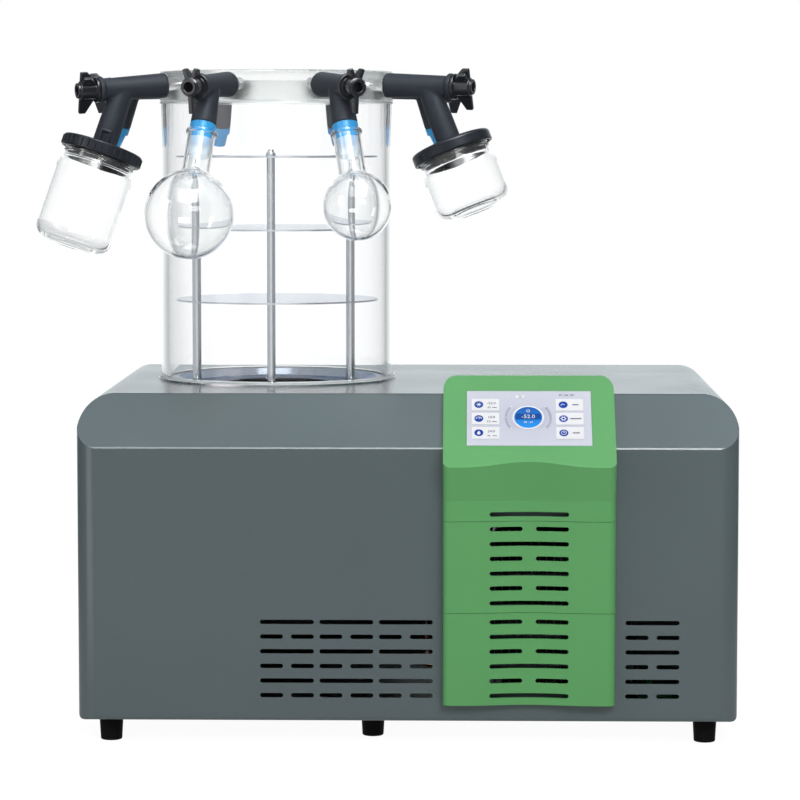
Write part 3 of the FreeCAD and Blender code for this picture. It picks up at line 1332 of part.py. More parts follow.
# ---- rear fittings ----
def vacuum_port():
    """A tube from the trap's wall to a small round flange for a pump hose."""
    start = at_chamber(VACUUM_PORT_Z, 0, TRAP_INNER_R)
    end_y = REAR_FACE_Y + VACUUM_PORT_REACH
    length = end_y - start.y
    tube = cylinder(VACUUM_TUBE_R, start, Y_AXIS, length)
    flange_start = Vector(CHAMBER_X, end_y - VACUUM_FLANGE, VACUUM_PORT_Z)
    flange = cylinder(VACUUM_FLANGE_R, flange_start, Y_AXIS, VACUUM_FLANGE)
    bore = cylinder(VACUUM_BORE_R, start - Y_AXIS, Y_AXIS, length + 2)
    outside = fuse([tube, flange]).cut(bore)
    return outside.cut(cylinder(TRAP_INNER_R + TRAP_WALL / 2, at_chamber(VACUUM_PORT_Z - 30), Z_AXIS, 60))


def drain_valve():
    """A pipe from the trap's floor to a small ball valve with a hose barb."""
    start = at_chamber(TRAP_BOTTOM_Z)
    run_end = Vector(CHAMBER_X, DRAIN_BLOCK_END - DRAIN_BLOCK_LENGTH, DRAIN_Z)
    drop = pipe([start, at_chamber(DRAIN_Z), run_end], DRAIN_PIPE_R, 14.0)
    half = DRAIN_BLOCK / 2
    block = box(
        (CHAMBER_X - half, CHAMBER_X + half), (run_end.y, DRAIN_BLOCK_END), (DRAIN_Z - half, DRAIN_Z + half)
    )
    barb = cylinder(DRAIN_PIPE_R, Vector(CHAMBER_X, DRAIN_BLOCK_END, DRAIN_Z), Y_AXIS, DRAIN_BARB_LENGTH)
    outlet = cylinder(
        DRAIN_BORE_R, Vector(CHAMBER_X, DRAIN_BLOCK_END - 8, DRAIN_Z), Y_AXIS, DRAIN_BARB_LENGTH + 9
    )
    stem_foot = Vector(CHAMBER_X, HANDLE_Y, HANDLE_Z - HANDLE_STEM_DEPTH - 1)
    stem_bore = cylinder(HANDLE_STEM_R, stem_foot, Z_AXIS, HANDLE_STEM_DEPTH + 2)
    return fuse([drop, block, barb]).cut([outlet, stem_bore])


def drain_handle():
    low = HANDLE_Z + HANDLE_GAP
    stem_foot = Vector(CHAMBER_X, HANDLE_Y, HANDLE_Z - HANDLE_STEM_DEPTH)
    stem = cylinder(HANDLE_STEM_R - HANDLE_CLEARANCE, stem_foot, Z_AXIS, HANDLE_STEM_DEPTH + 3)
    half = HANDLE_WIDTH / 2
    lever = plan_prism(
        [
            (CHAMBER_X - half, HANDLE_Y - half, half * 0.99),
            (CHAMBER_X + HANDLE_LENGTH, HANDLE_Y - half, half * 0.99),
            (CHAMBER_X + HANDLE_LENGTH, HANDLE_Y + half, half * 0.99),
            (CHAMBER_X - half, HANDLE_Y + half, half * 0.99),
        ],
        low,
        Z_AXIS * HANDLE_THICKNESS,
    )
    return fuse([stem, lever])


def panel_screws():
    screws = []
    for x, z in rear_screw_places():
        profile = [
            (0, -SCREW_SHANK, 0),
            (SCREW_SHANK_R, -SCREW_SHANK, 0.5),
            (SCREW_SHANK_R, 0, 0),
            (SCREW_HEAD_R, 0, 0.3),
            (SCREW_HEAD_R, SCREW_HEAD, 1.4),
            (0, SCREW_HEAD, 0),
        ]
        screw = turned(profile)
        recess = (SCREW_HEAD - 1, SCREW_HEAD + 1)
        cross = [box((-2, 2), (-0.4, 0.4), recess), box((-0.4, 0.4), (-2, 2), recess)]
        screw = screw.cut(cross)
        screw.rotate(ORIGIN, X_AXIS, -90)
        screw.translate(Vector(x, REAR_FACE_Y, z))
        screws.append(screw)
    return Part.makeCompound(screws)


def build_parts():
    parts = {
        "cabinet_shell": cabinet_shell(),
        "base_pan": base_pan(),
        "rear_panel": rear_panel(),
        "rubber_feet": rubber_feet(),
        "console_head": console_head(),
        "upper_grille_cover": upper_grille_cover(),
        "lower_grille_cover": lower_grille_cover(),
        "touch_screen": touch_screen(),
        "display_board": display_board(),
        "chamber_gasket": chamber_gasket(),
        "vapour_guide": vapour_guide(),
        "cold_trap": cold_trap(),
        "evaporator_coil": evaporator_coil(),
        "insulation_jacket": insulation_jacket(),
        "chamber_tube": chamber_tube(),
        "lid_gasket": lid_gasket(),
        "manifold_lid": manifold_lid(),
        "port_nipples": port_nipples(),
        "rack_tie_rods": rack_tie_rods(),
        "rack_spacers": rack_spacers(),
        "flask_adapters": flask_adapters(),
        "flask_large": flask(LARGE_BULB_R, LARGE_BULB_AT, FLASK_PORTS[0]),
        "flask_small": flask(SMALL_BULB_R, SMALL_BULB_AT, FLASK_PORTS[1]),
        "jar_lid_tall": jar_lid(TALL_LID_R, JAR_PORTS[0], True),
        "jar_lid_short": jar_lid(SHORT_LID_R, JAR_PORTS[1], False),
        "jar_tall": jar(TALL_JAR_R, TALL_JAR_BODY, JAR_PORTS[0]),
        "jar_short": jar(SHORT_JAR_R, SHORT_JAR_BODY, JAR_PORTS[1]),
        "condenser_coil": condenser_coil(),
        "fan_frame": fan_frame(),
        "fan_rotor": fan_rotor(),
        "compressor": compressor(),
        "filter_drier": filter_drier(),
        "refrigerant_pipes": refrigerant_pipes(),
        "control_board": control_board(),
        "power_supply": power_supply(),
        "power_inlet": power_inlet(),
        "power_switch": power_switch(),
        "vacuum_port": vacuum_port(),
        "drain_valve": drain_valve(),
        "drain_handle": drain_handle(),
        "panel_screws": panel_screws(),
    }
    for level, name in enumerate(("lower", "middle", "upper")):
        parts[f"shelf_{name}"] = shelf(level)
    body = valve_body()
    for port, turn in enumerate(KNOB_TURNS, start=1):
        parts[f"valve_body_{port}"] = at_port(body, port)
        parts[f"valve_knob_{port}"] = at_port(valve_knob(turn), port)
    return parts


def main():
    os.makedirs("parts", exist_ok=True)
    for name, shape in build_parts().items():
        shape.exportStep(f"parts/{name}.step")


main()
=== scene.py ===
import json
import math

import bmesh
import bpy
from bpy.props import FloatProperty, FloatVectorProperty, IntProperty, PointerProperty
from mathutils import Matrix, Vector


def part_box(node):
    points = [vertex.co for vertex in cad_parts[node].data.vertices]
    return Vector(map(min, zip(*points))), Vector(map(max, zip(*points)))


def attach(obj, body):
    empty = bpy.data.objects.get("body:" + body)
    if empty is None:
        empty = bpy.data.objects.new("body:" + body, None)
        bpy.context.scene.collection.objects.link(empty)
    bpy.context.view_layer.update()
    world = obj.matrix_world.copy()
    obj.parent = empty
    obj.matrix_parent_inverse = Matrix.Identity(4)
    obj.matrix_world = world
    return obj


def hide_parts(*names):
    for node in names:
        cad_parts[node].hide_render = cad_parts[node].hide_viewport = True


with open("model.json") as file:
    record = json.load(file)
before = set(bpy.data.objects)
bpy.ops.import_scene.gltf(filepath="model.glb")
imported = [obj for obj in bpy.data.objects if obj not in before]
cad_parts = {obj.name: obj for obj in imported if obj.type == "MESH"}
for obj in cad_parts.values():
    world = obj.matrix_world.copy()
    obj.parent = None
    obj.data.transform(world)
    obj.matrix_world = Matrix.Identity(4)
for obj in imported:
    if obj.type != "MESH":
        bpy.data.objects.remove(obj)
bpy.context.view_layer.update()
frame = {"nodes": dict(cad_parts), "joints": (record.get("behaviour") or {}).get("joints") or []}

bl_info = {
    "name": "Benchtop freeze dryer",
    "version": (1, 0, 0),
    "blender": (4, 5, 0),
    "location": "View3D > Sidebar > Freeze dryer",
    "description": "Finishes, soft parts, glassware and studio for a benchtop manifold freeze dryer",
    "category": "Object",
}

MM = 0.001
UP = Vector((0, 0, 1))
FULL_TURN = 2 * math.pi
NODES = frame["nodes"]
KNOB_TURNS = {1: 30, 4: -30, 5: -30, 8: 30}  # degrees at rest, by port; the others are at 0
JARS = {5: "jar_tall", 8: "jar_short"}  # by port
JAR_LIDS = {5: "jar_lid_tall", 8: "jar_lid_short"}
LUG_PORT = 5  # the jar lid that has the lug
FLASKS = {6: "flask_large", 7: "flask_small"}
MATERIALS = {}
WHITE = (1.0, 1.0, 1.0, 1.0)
LOW_SHINE = {"Specular IOR Level": 0.2}
GLASS_BOUNCES = 28  # light that runs along a glass wall turns black after fewer
SAME_POINT = 1e-6  # metres between vertices that are merged


def srgb(red, green, blue):
    """The linear colour of three screen values from 0 to 255."""
    parts = [value / 255 for value in (red, green, blue)]
    return tuple(v / 12.92 if v <= 0.04045 else ((v + 0.055) / 1.055) ** 2.4 for v in parts)


# ---- settings a user would change ----
class DryerColours(bpy.types.PropertyGroup):
    """Colours of the painted, moulded and rubber parts."""

    paint: FloatVectorProperty(
        name="Cabinet paint",
        description="Powder coat of the cabinet",
        subtype="COLOR",
        default=srgb(81, 92, 95),
    )
    console: FloatVectorProperty(
        name="Console",
        description="Moulded console covers",
        subtype="COLOR",
        default=srgb(84, 147, 88),
    )
    rubber: FloatVectorProperty(
        name="Valve rubber",
        description="Moulded valve bodies",
        subtype="COLOR",
        default=srgb(47, 51, 58),
    )
    silicone: FloatVectorProperty(
        name="Adapter silicone",
        description="Soft flask adapters",
        subtype="COLOR",
        default=srgb(53, 160, 224),
    )
    glass: FloatVectorProperty(
        name="Glass",
        description="Tint of the flasks and jars",
        subtype="COLOR",
        default=(0.985, 0.99, 0.99),
    )
    acrylic: FloatVectorProperty(
        name="Acrylic",
        description="Tint of the chamber's clear tube",
        subtype="COLOR",
        default=(0.98, 0.985, 0.99),
    )


class DryerSizes(bpy.types.PropertyGroup):
    """Sizes of what is modelled here, in metres."""

    branch_root: FloatProperty(
        name="Branch root",
        description="From the tube's wall to a valve's branch, along the valve",
        default=44.5 * MM,
        unit="LENGTH",
    )
    branch_tilt: FloatProperty(
        name="Branch tilt",
        description="Of each branch, outwards from square to its valve",
        default=math.radians(24.0),
        unit="ROTATION",
    )
    branch_r: FloatProperty(
        name="Branch radius",
        description="Of a valve's branch where it leaves the barrel",
        default=10.6 * MM,
        unit="LENGTH",
    )
    rubber_voxel: FloatProperty(
        name="Rubber detail",
        description="Grid that rounds the valve bodies",
        default=0.75 * MM,
        unit="LENGTH",
    )
    knob_length: FloatProperty(
        name="Knob length",
        description="Of a valve knob beyond its body",
        default=20.8 * MM,
        unit="LENGTH",
    )
    paddle_reach: FloatProperty(
        name="Paddle reach",
        description="Of a knob's long wing, from its axis",
        default=25 * MM,
        unit="LENGTH",
    )
    wing_reach: FloatProperty(
        name="Wing reach",
        description="Of a knob's short wings, from its axis",
        default=18 * MM,
        unit="LENGTH",
    )
    tube_wall: FloatProperty(
        name="Tube wall", description="Of the chamber's clear tube", default=8 * MM, unit="LENGTH"
    )
    jar_wall: FloatProperty(
        name="Jar wall", description="Of the glass jars", default=1.7 * MM, unit="LENGTH"
    )
    screen_tilt: FloatProperty(
        name="Screen tilt",
        description="Of the console's face, back from upright",
        default=math.radians(47),
        unit="ROTATION",
    )
    segments: IntProperty(name="Segments", description="Round the turned parts", default=128, min=24)


class StudioSettings(bpy.types.PropertyGroup):
    """Camera and lamps."""

    camera_place: FloatVectorProperty(
        name="Camera",
        description="Where the camera stands",
        subtype="TRANSLATION",
        default=(0.056, -3.108, 0.564),
    )
    camera_pitch: FloatProperty(
        name="Pitch",
        description="How far the camera looks down",
        default=math.radians(4.8),
        unit="ROTATION",
    )
    camera_yaw: FloatProperty(
        name="Yaw",
        description="How far the camera looks to its left",
        default=math.radians(1.24),
        unit="ROTATION",
    )
    lens: FloatProperty(name="Lens", description="Focal length", default=141.3, unit="CAMERA")
    sky: FloatProperty(name="Sky", description="Strength of the even light from all round", default=0.55)
    floor_glow: FloatProperty(
        name="Floor glow",
        description="How white the floor reads, over the shadows on it",
        subtype="FACTOR",
        default=0.85,
        min=0,
        max=1,
    )
    front_lamp: FloatProperty(
        name="Front lamp", description="Lamp in front, on the right", default=20.0, unit="POWER"
    )
    top_lamp: FloatProperty(name="Top lamp", description="Lamp overhead", default=12.0, unit="POWER")
    side_lamp: FloatProperty(name="Side lamp", description="Lamp on the left", default=9.0, unit="POWER")


def colours():
    return bpy.context.scene.dryer_colours


def sizes():
    return bpy.context.scene.dryer_sizes


def studio():
    return bpy.context.scene.dryer_studio


# ---- shader maths ----
class Signal:
    """A shader socket. Sums on it add Math nodes, and node() adds any other node to its tree."""

    def __init__(self, tree, socket=None):
        self.tree = tree
        self.socket = socket

    def node(self, kind, settings=None, inputs=None, out=0):
        made = self.tree.nodes.new(kind)
        for name, value in (settings or {}).items():
            setattr(made, name, value)
        for name, value in (inputs or {}).items():
            if isinstance(value, Signal):
                self.tree.links.new(value.socket, made.inputs[name])
            else:
                made.inputs[name].default_value = value
        return Signal(self.tree, made.outputs[out]) if made.outputs else None

    def __add__(self, other):
        return self.node("ShaderNodeMath", {"operation": "ADD"}, {0: self, 1: other})

    def __mul__(self, other):
        return self.node("ShaderNodeMath", {"operation": "MULTIPLY"}, {0: self, 1: other})

    def __abs__(self):
        return self.node("ShaderNodeMath", {"operation": "ABSOLUTE"}, {0: self})


def start(name):
    """A new material and the Object coordinates that its patterns read."""
    made = bpy.data.materials.new(name)
    made.use_nodes = True
    made.node_tree.nodes.clear()
    MATERIALS[name] = made
    return Signal(made.node_tree).node("ShaderNodeTexCoord", out="Object")


def principled(here, colour, roughness, normal=None, **constants):
    """Ends a material with a Principled shader."""
    inputs = {"Base Color": colour, "Roughness": roughness, **constants}
    if normal:
        inputs["Normal"] = normal
    shader = here.node("ShaderNodeBsdfPrincipled", {}, inputs, out="BSDF")
    here.node("ShaderNodeOutputMaterial", {}, {"Surface": shader})


def scaled(here, x, y, z, centre=(0, 0, 0)):
    """Coordinates measured from centre and multiplied along each axis."""
    shift = (-centre[0] * x, -centre[1] * y, -centre[2] * z)
    return here.node("ShaderNodeMapping", {}, {"Vector": here, "Location": shift, "Scale": (x, y, z)})


def length_of(vector):
    return vector.node("ShaderNodeVectorMath", {"operation": "LENGTH"}, {0: vector}, out="Value")


def parts_of(vector):
    """The three parts of a vector."""
    return [vector.node("ShaderNodeSeparateXYZ", {}, {"Vector": vector}, out=axis) for axis in "XYZ"]


def noise(here, scale, detail=2.0, roughness=0.5):
    inputs = {"Vector": here, "Scale": scale, "Detail": detail, "Roughness": roughness}
    return here.node("ShaderNodeTexNoise", {}, inputs)


def cells(here, scale, out="Distance"):
    return here.node("ShaderNodeTexVoronoi", {}, {"Vector": here, "Scale": scale}, out=out)


def between(value, low, high, new_low=0.0, new_high=1.0):
    """Carries value from low..high to new_low..new_high, held at the ends."""
    inputs = {"Value": value, "From Min": low, "From Max": high, "To Min": new_low, "To Max": new_high}
    return value.node("ShaderNodeMapRange", {"clamp": True}, inputs)


def spread(value, low=0.0, high=1.0):
    """Carries the usual run of a noise to low..high."""
    return between(value, 0.3, 0.7, low, high)


def blend(factor, first, second):
    """A colour from first, at factor 0, to second, at factor 1."""
    sides = [(*c, 1.0) if isinstance(c, tuple) and len(c) == 3 else c for c in (first, second)]
    inputs = {0: factor, 6: sides[0], 7: sides[1]}
    return factor.node("ShaderNodeMix", {"data_type": "RGBA"}, inputs, out=2)


def bump(height, distance, strength):
    inputs = {"Height": height, "Distance": distance, "Strength": strength}
    return height.node("ShaderNodeBump", {}, inputs, out="Normal")


def shade(colour, factor):
    """A colour made lighter or darker."""
    return tuple(min(1.0, part * factor) for part in colour)


def tones(value, colour, dark, light=1.0):
    """A colour that a noise makes a little darker and lighter."""
    return blend(spread(value), shade(colour, dark), shade(colour, light))


# ---- finishes ----
def powder_coat(name, colour, roughness, grain=700.0):
    """Baked powder paint: a fine orange peel, faint clouds of tone and a little uneven gloss."""
    here = start(name)
    clouds = noise(here, 6.0, 3.0)
    specks = between(noise(here, grain * 2.6, 1.0), 0.35, 0.75)
    colour = tones(clouds * 0.7 + specks * 0.3, colour, 0.95, 1.05)
    peel = bump(noise(here, grain, 2.0, 0.6), 0.12 * MM, 0.35)
    principled(here, colour, spread(clouds, roughness - 0.03, roughness + 0.04), peel)


def moulded(name, colour, roughness, grain=900.0, depth=0.06 * MM, **constants):
    """Injection moulded plastic: a sparked tool texture with faint flow clouds."""
    here = start(name)
    flow = noise(scaled(here, 1.0, 1.0, 0.45), 9.0, 3.0, 0.55)
    fine = noise(here, grain * 1.7, 2.0)
    gloss = spread(fine * 0.5 + flow * 0.5, roughness - 0.04, roughness + 0.04)
    spark = bump(cells(here, grain) * 0.6 + fine * 0.4, depth, 0.5)
    principled(here, tones(flow, colour, 0.965, 1.035), gloss, spark, **constants)


def rubber(name, colour, roughness, grain=1200.0):
    """Moulded rubber: matt, with a faint bloom in soft patches and fine pores."""
    here = start(name)
    bloom = noise(here, 28.0, 4.0, 0.6)
    flecks = between(noise(here, 340.0, 2.0), 0.52, 0.78)
    bloomed = blend(between(bloom, 0.35, 0.75), shade(colour, 0.9), shade(colour, 1.16))
    colour = blend(flecks * 0.16, bloomed, shade(colour, 1.9))
    pores = bump(noise(here, grain, 3.0, 0.65), 0.16 * MM, 0.4)
    principled(here, colour, spread(bloom, roughness - 0.05, roughness + 0.06), pores, **LOW_SHINE)


def brushed(name, colour, roughness, along=(1.0, 1.0, 0.02), scale=1800.0):
    """Drawn or brushed metal, with its grain along the axis that is scaled least."""
    here = start(name)
    grain = noise(scaled(here, *along), scale, 3.0, 0.6)
    cloud = noise(here, 14.0, 3.0)
    gloss = spread(grain * 0.6 + cloud * 0.4, roughness - 0.05, roughness + 0.07)
    principled(here, tones(grain, colour, 0.9, 1.05), gloss, bump(grain, 0.03 * MM, 0.25), Metallic=1.0)


def spun(name, colour, roughness, tint, pitch=1400.0):
    """Polished sheet with faint rings round the chamber's axis. tint is its colour at a low angle."""
    here = start(name)
    around = length_of(scaled(here, 1.0, 1.0, 0.0, chamber_axis())) * pitch
    rings = here.node("ShaderNodeTexNoise", {"noise_dimensions": "1D"}, {"W": around, "Scale": 1.0})
    cloud = noise(here, 18.0, 3.0)
    colour = tones(cloud, colour, 0.96, 1.02)
    gloss = spread(rings * 0.5 + cloud * 0.5, roughness - 0.03, roughness + 0.04)
    at_edge = {"Specular Tint": (*tint, 1.0)}
    principled(here, colour, gloss, bump(rings, 0.02 * MM, 0.3), Metallic=1.0, **at_edge)


def clear(name, tint, index, roughness=0.0, wave=0.04 * MM, along=(1, 1, 1), haze=0.0, clearness=1.0):
    """Clear glass or plastic: a slow wave in the surface and faint wiped patches."""
    here = start(name)
    slow = noise(scaled(here, *along), 24.0, 2.0)
    wiped = between(noise(here, 60.0, 4.0, 0.6), 0.55, 0.8)
    gloss = between(wiped, 0.0, 1.0, roughness, roughness + haze)
    see_through = {"IOR": index, "Transmission Weight": clearness}
    principled(here, tones(slow, tint, 0.992), gloss, bump(slow, wave, 0.5), **see_through)


def spangled(name, colour):
    """Hot-dipped zinc, in dull crystals."""
    here = start(name)
    crystal = here.node("ShaderNodeRGBToBW", {}, {"Color": cells(here, 85.0, out="Color")})
    fine = noise(here, 420.0, 3.0)
    colour = blend(crystal, shade(colour, 0.78), shade(colour, 1.1))
    gloss = between(crystal * 0.7 + fine * 0.3, 0.0, 1.0, 0.36, 0.6)
    principled(here, colour, gloss, bump(crystal * 0.5 + fine * 0.5, 0.04 * MM, 0.4), Metallic=1.0)


def foamed(name, colour):
    """Cut insulating foam, full of small cells."""
    here = start(name)
    pore = cells(here, 480.0)
    cloud = noise(here, 22.0, 3.0)
    colour = blend(between(pore * 0.6 + cloud * 0.4, 0.1, 0.6), shade(colour, 0.72), colour)
    principled(here, colour, spread(cloud, 0.8, 0.92), bump(pore, 0.6 * MM, 0.7))


def circuit(name):
    """Solder mask over copper tracks, with bare pads."""
    here = start(name)
    bricks = {"Vector": here, "Scale": 120.0, "Mortar Size": 0.03}
    tracks = here.node("ShaderNodeTexBrick", {"offset": 0.5}, bricks, out="Fac")
    pads = between(cells(here, 420.0), 0.24, 0.16)
    mask = blend(tracks, srgb(14, 78, 46), srgb(34, 118, 70))
    colour = blend(pads * 0.7, mask, srgb(206, 178, 96))
    gloss = between(pads, 0.0, 1.0, 0.38, 0.3)
    principled(here, colour, gloss, bump(tracks, 0.08 * MM, 0.4), Metallic=pads * 0.6)


def screen_glass(name):
    """The screen's lit face: pale lilac, a little lighter towards its edge."""
    here = start(name)
    low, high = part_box("touch_screen")
    middle = (low + high) / 2
    from_middle = length_of(scaled(here, 2 / (high.x - low.x), 0.0, 2 / (high.z - low.z), middle))
    dots = noise(here, 2600.0, 1.0)
    face = blend(between(from_middle + dots * 0.06, 0.2, 1.3), srgb(186, 188, 203), srgb(196, 198, 211))
    coat = {"Coat Weight": 0.25}
    principled(here, face, spread(dots, 0.24, 0.3), bump(dots, 0.01 * MM, 0.2), **coat)


def printed(name, low_colour, high_colour, low_z, high_z):
    """A figure on the screen: a tone that runs up it between two heights."""
    here = start(name)
    dots = noise(here, 2400.0, 1.0)
    run = between(parts_of(here)[2] + dots * 0.0006, low_z, high_z)
    matt = {"Specular IOR Level": 0.12}
    principled(here, blend(run, low_colour, high_colour), spread(dots, 0.5, 0.56), **matt)


def make_materials():
    """One finish for every material slot of the frame, and the screen's own."""
    ink = colours()
    powder_coat("cabinet_paint", tuple(ink.paint), 0.22)
    powder_coat("panel_paint", shade(tuple(ink.paint), 0.92), 0.42, grain=480.0)
    powder_coat("supply_case", srgb(172, 176, 178), 0.36)
    powder_coat("compressor_paint", srgb(24, 25, 27), 0.24, grain=260.0)
    moulded("console_plastic", tuple(ink.console), 0.4, 1100.0, **{"Specular IOR Level": 0.35})
    moulded("knob_plastic", srgb(34, 35, 40), 0.18, 500.0, 0.02 * MM)
    moulded("lid_plastic", srgb(36, 40, 46), 0.3, 520.0, 0.03 * MM, **{"Specular IOR Level": 0.22})
    moulded("fan_plastic", srgb(30, 31, 34), 0.38)
    moulded("black_plastic", srgb(22, 22, 24), 0.36)
    moulded("switch_plastic", srgb(26, 26, 28), 0.26)
    moulded("handle_plastic", srgb(178, 34, 30), 0.34)
    flesh = {"Subsurface Weight": 0.1, "Subsurface Scale": 3 * MM, "Subsurface Radius": (0.3, 0.6, 1.0)}
    moulded("blue_silicone", tuple(ink.silicone), 0.36, 800.0, **flesh)
    rubber("valve_rubber", tuple(ink.rubber), 0.56)
    moulded("foot_rubber", srgb(8, 7, 8), 0.6, 1200.0, **{"Specular IOR Level": 0.1})
    rubber("gasket_rubber", srgb(182, 188, 190), 0.4)
    clear("flask_glass", tuple(ink.glass), 1.47)
    clear("jar_glass", tuple(ink.glass), 1.5, wave=0.1 * MM)
    clear("clear_acrylic", tuple(ink.acrylic), 1.49, wave=0.01 * MM, along=(1.0, 1.0, 0.06))
    clear("frosted_acrylic", (0.845, 0.865, 0.86), 1.49, roughness=0.16, wave=0.06 * MM, haze=0.12)
    clear("clear_silicone", (0.9, 0.92, 0.92), 1.41, roughness=0.3, haze=0.1)
    clear("ground_glass", (0.9, 0.96, 0.99), 1.3, roughness=0.3, haze=0.1, clearness=0.8)
    spun("mirror_steel", (0.38, 0.42, 0.48), 0.09, tint=(0.42, 0.47, 0.56))
    spun("shelf_steel", (0.7, 0.72, 0.75), 0.16, tint=(0.82, 0.86, 0.9), pitch=2200.0)
    brushed("satin_steel", (0.72, 0.72, 0.71), 0.24)
    # painted shade: the fins get a near-black colour so that the console's slots in front of them read
    # dark
    brushed("fin_aluminium", (0.06, 0.065, 0.07), 0.5, along=(0.05, 1.0, 1.0))
    brushed("screw_steel", (0.56, 0.56, 0.57), 0.28, along=(1.0, 1.0, 1.0), scale=900.0)
    brushed("copper_pipe", (0.78, 0.39, 0.26), 0.26, along=(0.1, 0.1, 1.0))
    brushed("valve_brass", (0.72, 0.54, 0.28), 0.3)
    spangled("galvanised_steel", (0.6, 0.61, 0.62))
    foamed("foam", srgb(52, 52, 54))
    circuit("circuit_board")
    screen_glass("screen_face")
    low, high = (corner.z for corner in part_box("touch_screen"))
    dial_margin = 0.3 * (high - low)
    printed("screen_dial", srgb(40, 150, 236), srgb(24, 88, 168), low + dial_margin, high - dial_margin)
    for name, at_foot, at_top in (
        ("screen_card", (224, 225, 229), (228, 229, 232)),
        ("screen_icon", (4, 50, 140), (8, 70, 160)),
        ("screen_band", (16, 58, 124), (22, 74, 150)),
        ("screen_ink", (62, 66, 88), (46, 50, 72)),
        ("screen_trim", (172, 174, 192), (164, 166, 186)),
    ):
        printed(name, srgb(*at_foot), srgb(*at_top), low, high)


# ---- places from the frame ----
def chamber_axis():
    low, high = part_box("chamber_tube")
    return Vector(((low.x + high.x) / 2, (low.y + high.y) / 2, 0))


class Port:
    """One of the lid's ports: its outward axis, and the branch that hangs from its valve."""

    def __init__(self, number):
        joint = next(j for j in frame["joints"] if j["name"] == f"knob_{number}_turn")
        low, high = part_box("chamber_tube")
        tube_r = (high.x - low.x) / 2
        self.number = number
        self.out = Vector(joint["axis"]).normalized()
        self.radial = Vector((self.out.x, self.out.y, 0)).normalized()
        at = Vector(joint["pos_m"]) - chamber_axis()
        along = (tube_r - at.dot(self.radial)) / self.out.dot(self.radial)
        self.wall = chamber_axis() + at + self.out * along
        self.root = self.wall + self.out * sizes().branch_root
        tilt = sizes().branch_tilt
        self.side = UP.cross(self.radial)
        self.down = self.out * math.sin(tilt) + self.side.cross(self.out) * math.cos(tilt)

    def branch_frame(self):
        """Z up the branch, from its root."""
        return basis(self.side.cross(-self.down), self.side, self.root)


def basis(x_axis, y_axis, origin):
    """The matrix with these first two axes and origin."""
    z_axis = x_axis.cross(y_axis)
    return Matrix.Translation(origin) @ Matrix((x_axis, y_axis, z_axis)).transposed().to_4x4()


def spans(node, origin, axis):
    """How far along an axis, and how far from it, each vertex of a node is."""
    places = [vertex.co - origin for vertex in NODES[node].data.vertices]
    return [(at.dot(axis), (at - axis * at.dot(axis)).length) for at in places]


def reach(node, origin, axis):
    """Where a node starts and ends along an axis, and its greatest radius about it."""
    along, radii = zip(*spans(node, origin, axis))
    return min(along), max(along), max(radii)


# ---- making pieces ----
def rounded(corners, steps=5):
    """(radius, height, corner radius) corners as points, with each corner an arc."""
    points = []
    for i, (across, height, radius) in enumerate(corners):
        corner = Vector((across, height))
        if radius <= 0 or i in (0, len(corners) - 1):
            points.append(corner)
            continue
        back = (Vector(corners[i - 1][:2]) - corner).normalized()
        ahead = (Vector(corners[i + 1][:2]) - corner).normalized()
        half = back.angle(ahead) / 2
        centre = corner + (back + ahead).normalized() * (radius / math.sin(half))
        first = corner + back * (radius / math.tan(half)) - centre
        sweep = first.angle_signed(corner + ahead * (radius / math.tan(half)) - centre)
        for step in range(steps + 1):
            points.append(centre + Matrix.Rotation(-sweep * step / steps, 2) @ first)
    return points


def turn(bm, corners, segments=None, steps=5):
    """Spins rounded (radius, height, corner radius) corners about Z, and returns the new vertices."""
    before = set(bm.verts)
    chain = [bm.verts.new((point.x, 0, point.y)) for point in rounded(corners, steps)]
    edges = [bm.edges.new(pair) for pair in zip(chain, chain[1:])]
    segments = segments or sizes().segments
    bmesh.ops.spin(
        bm, geom=chain + edges, cent=(0, 0, 0), axis=UP, angle=FULL_TURN, steps=segments, use_merge=True
    )
    bmesh.ops.remove_doubles(bm, verts=added(bm, before), dist=SAME_POINT)
    return added(bm, before)


def turned(corners, matrix, segments=None, steps=5):
    """A new bmesh of one turned form, moved to its place."""
    bm = bmesh.new()
    turn(bm, corners, segments, steps)
    move(bm, bm.verts, matrix)
    return bm


def added(bm, before):
    """The vertices that a bmesh has gained."""
    return [vertex for vertex in bm.verts if vertex not in before]


def ease_edges(bm, verts, width=0.9 * MM):
    """Rounds every edge of these vertices."""
    edges = list({edge for vertex in verts for edge in vertex.link_edges})
    bmesh.ops.bevel(bm, geom=edges, offset=width, segments=3, profile=0.5, affect="EDGES", material=-1)


def relax(bm, verts, factor):
    axes = {f"use_axis_{axis}": True for axis in "xyz"}
    bmesh.ops.smooth_vert(bm, verts=verts, factor=factor, **axes)


def move(bm, verts, matrix):
    bmesh.ops.transform(bm, matrix=matrix, verts=verts)


def rotation(degrees, axis):
    return Matrix.Rotation(math.radians(degrees), 4, axis)


def linked(name, data):
    """A new object in the scene."""
    obj = bpy.data.objects.new(name, data)
    bpy.context.scene.collection.objects.link(obj)
    return obj


def mesh_of(name, bm):
    """Ends a bmesh as a mesh."""
    mesh = bpy.data.meshes.new(name)
    bm.to_mesh(mesh)
    bm.free()
    return mesh


def piece(name, bm, material, body="cabinet", sharp=35.0, recalculate=True):
    """Ends a bmesh as an object at the origin that rides on a body and takes a material."""
    if recalculate:
        bmesh.ops.recalc_face_normals(bm, faces=bm.faces)
    mesh = mesh_of(name, bm)
    mesh.shade_smooth()
    mesh.set_sharp_from_angle(angle=math.radians(sharp))
    mesh.materials.append(MATERIALS[material])
    obj = linked(name, mesh)
    obj.modifiers.new("even_shading", "WEIGHTED_NORMAL").keep_sharp = True
    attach(obj, body)
    return obj


def lets_light_through(obj):
    """Clear parts cast no shadow of their own."""
    obj.visible_shadow = False
    return obj


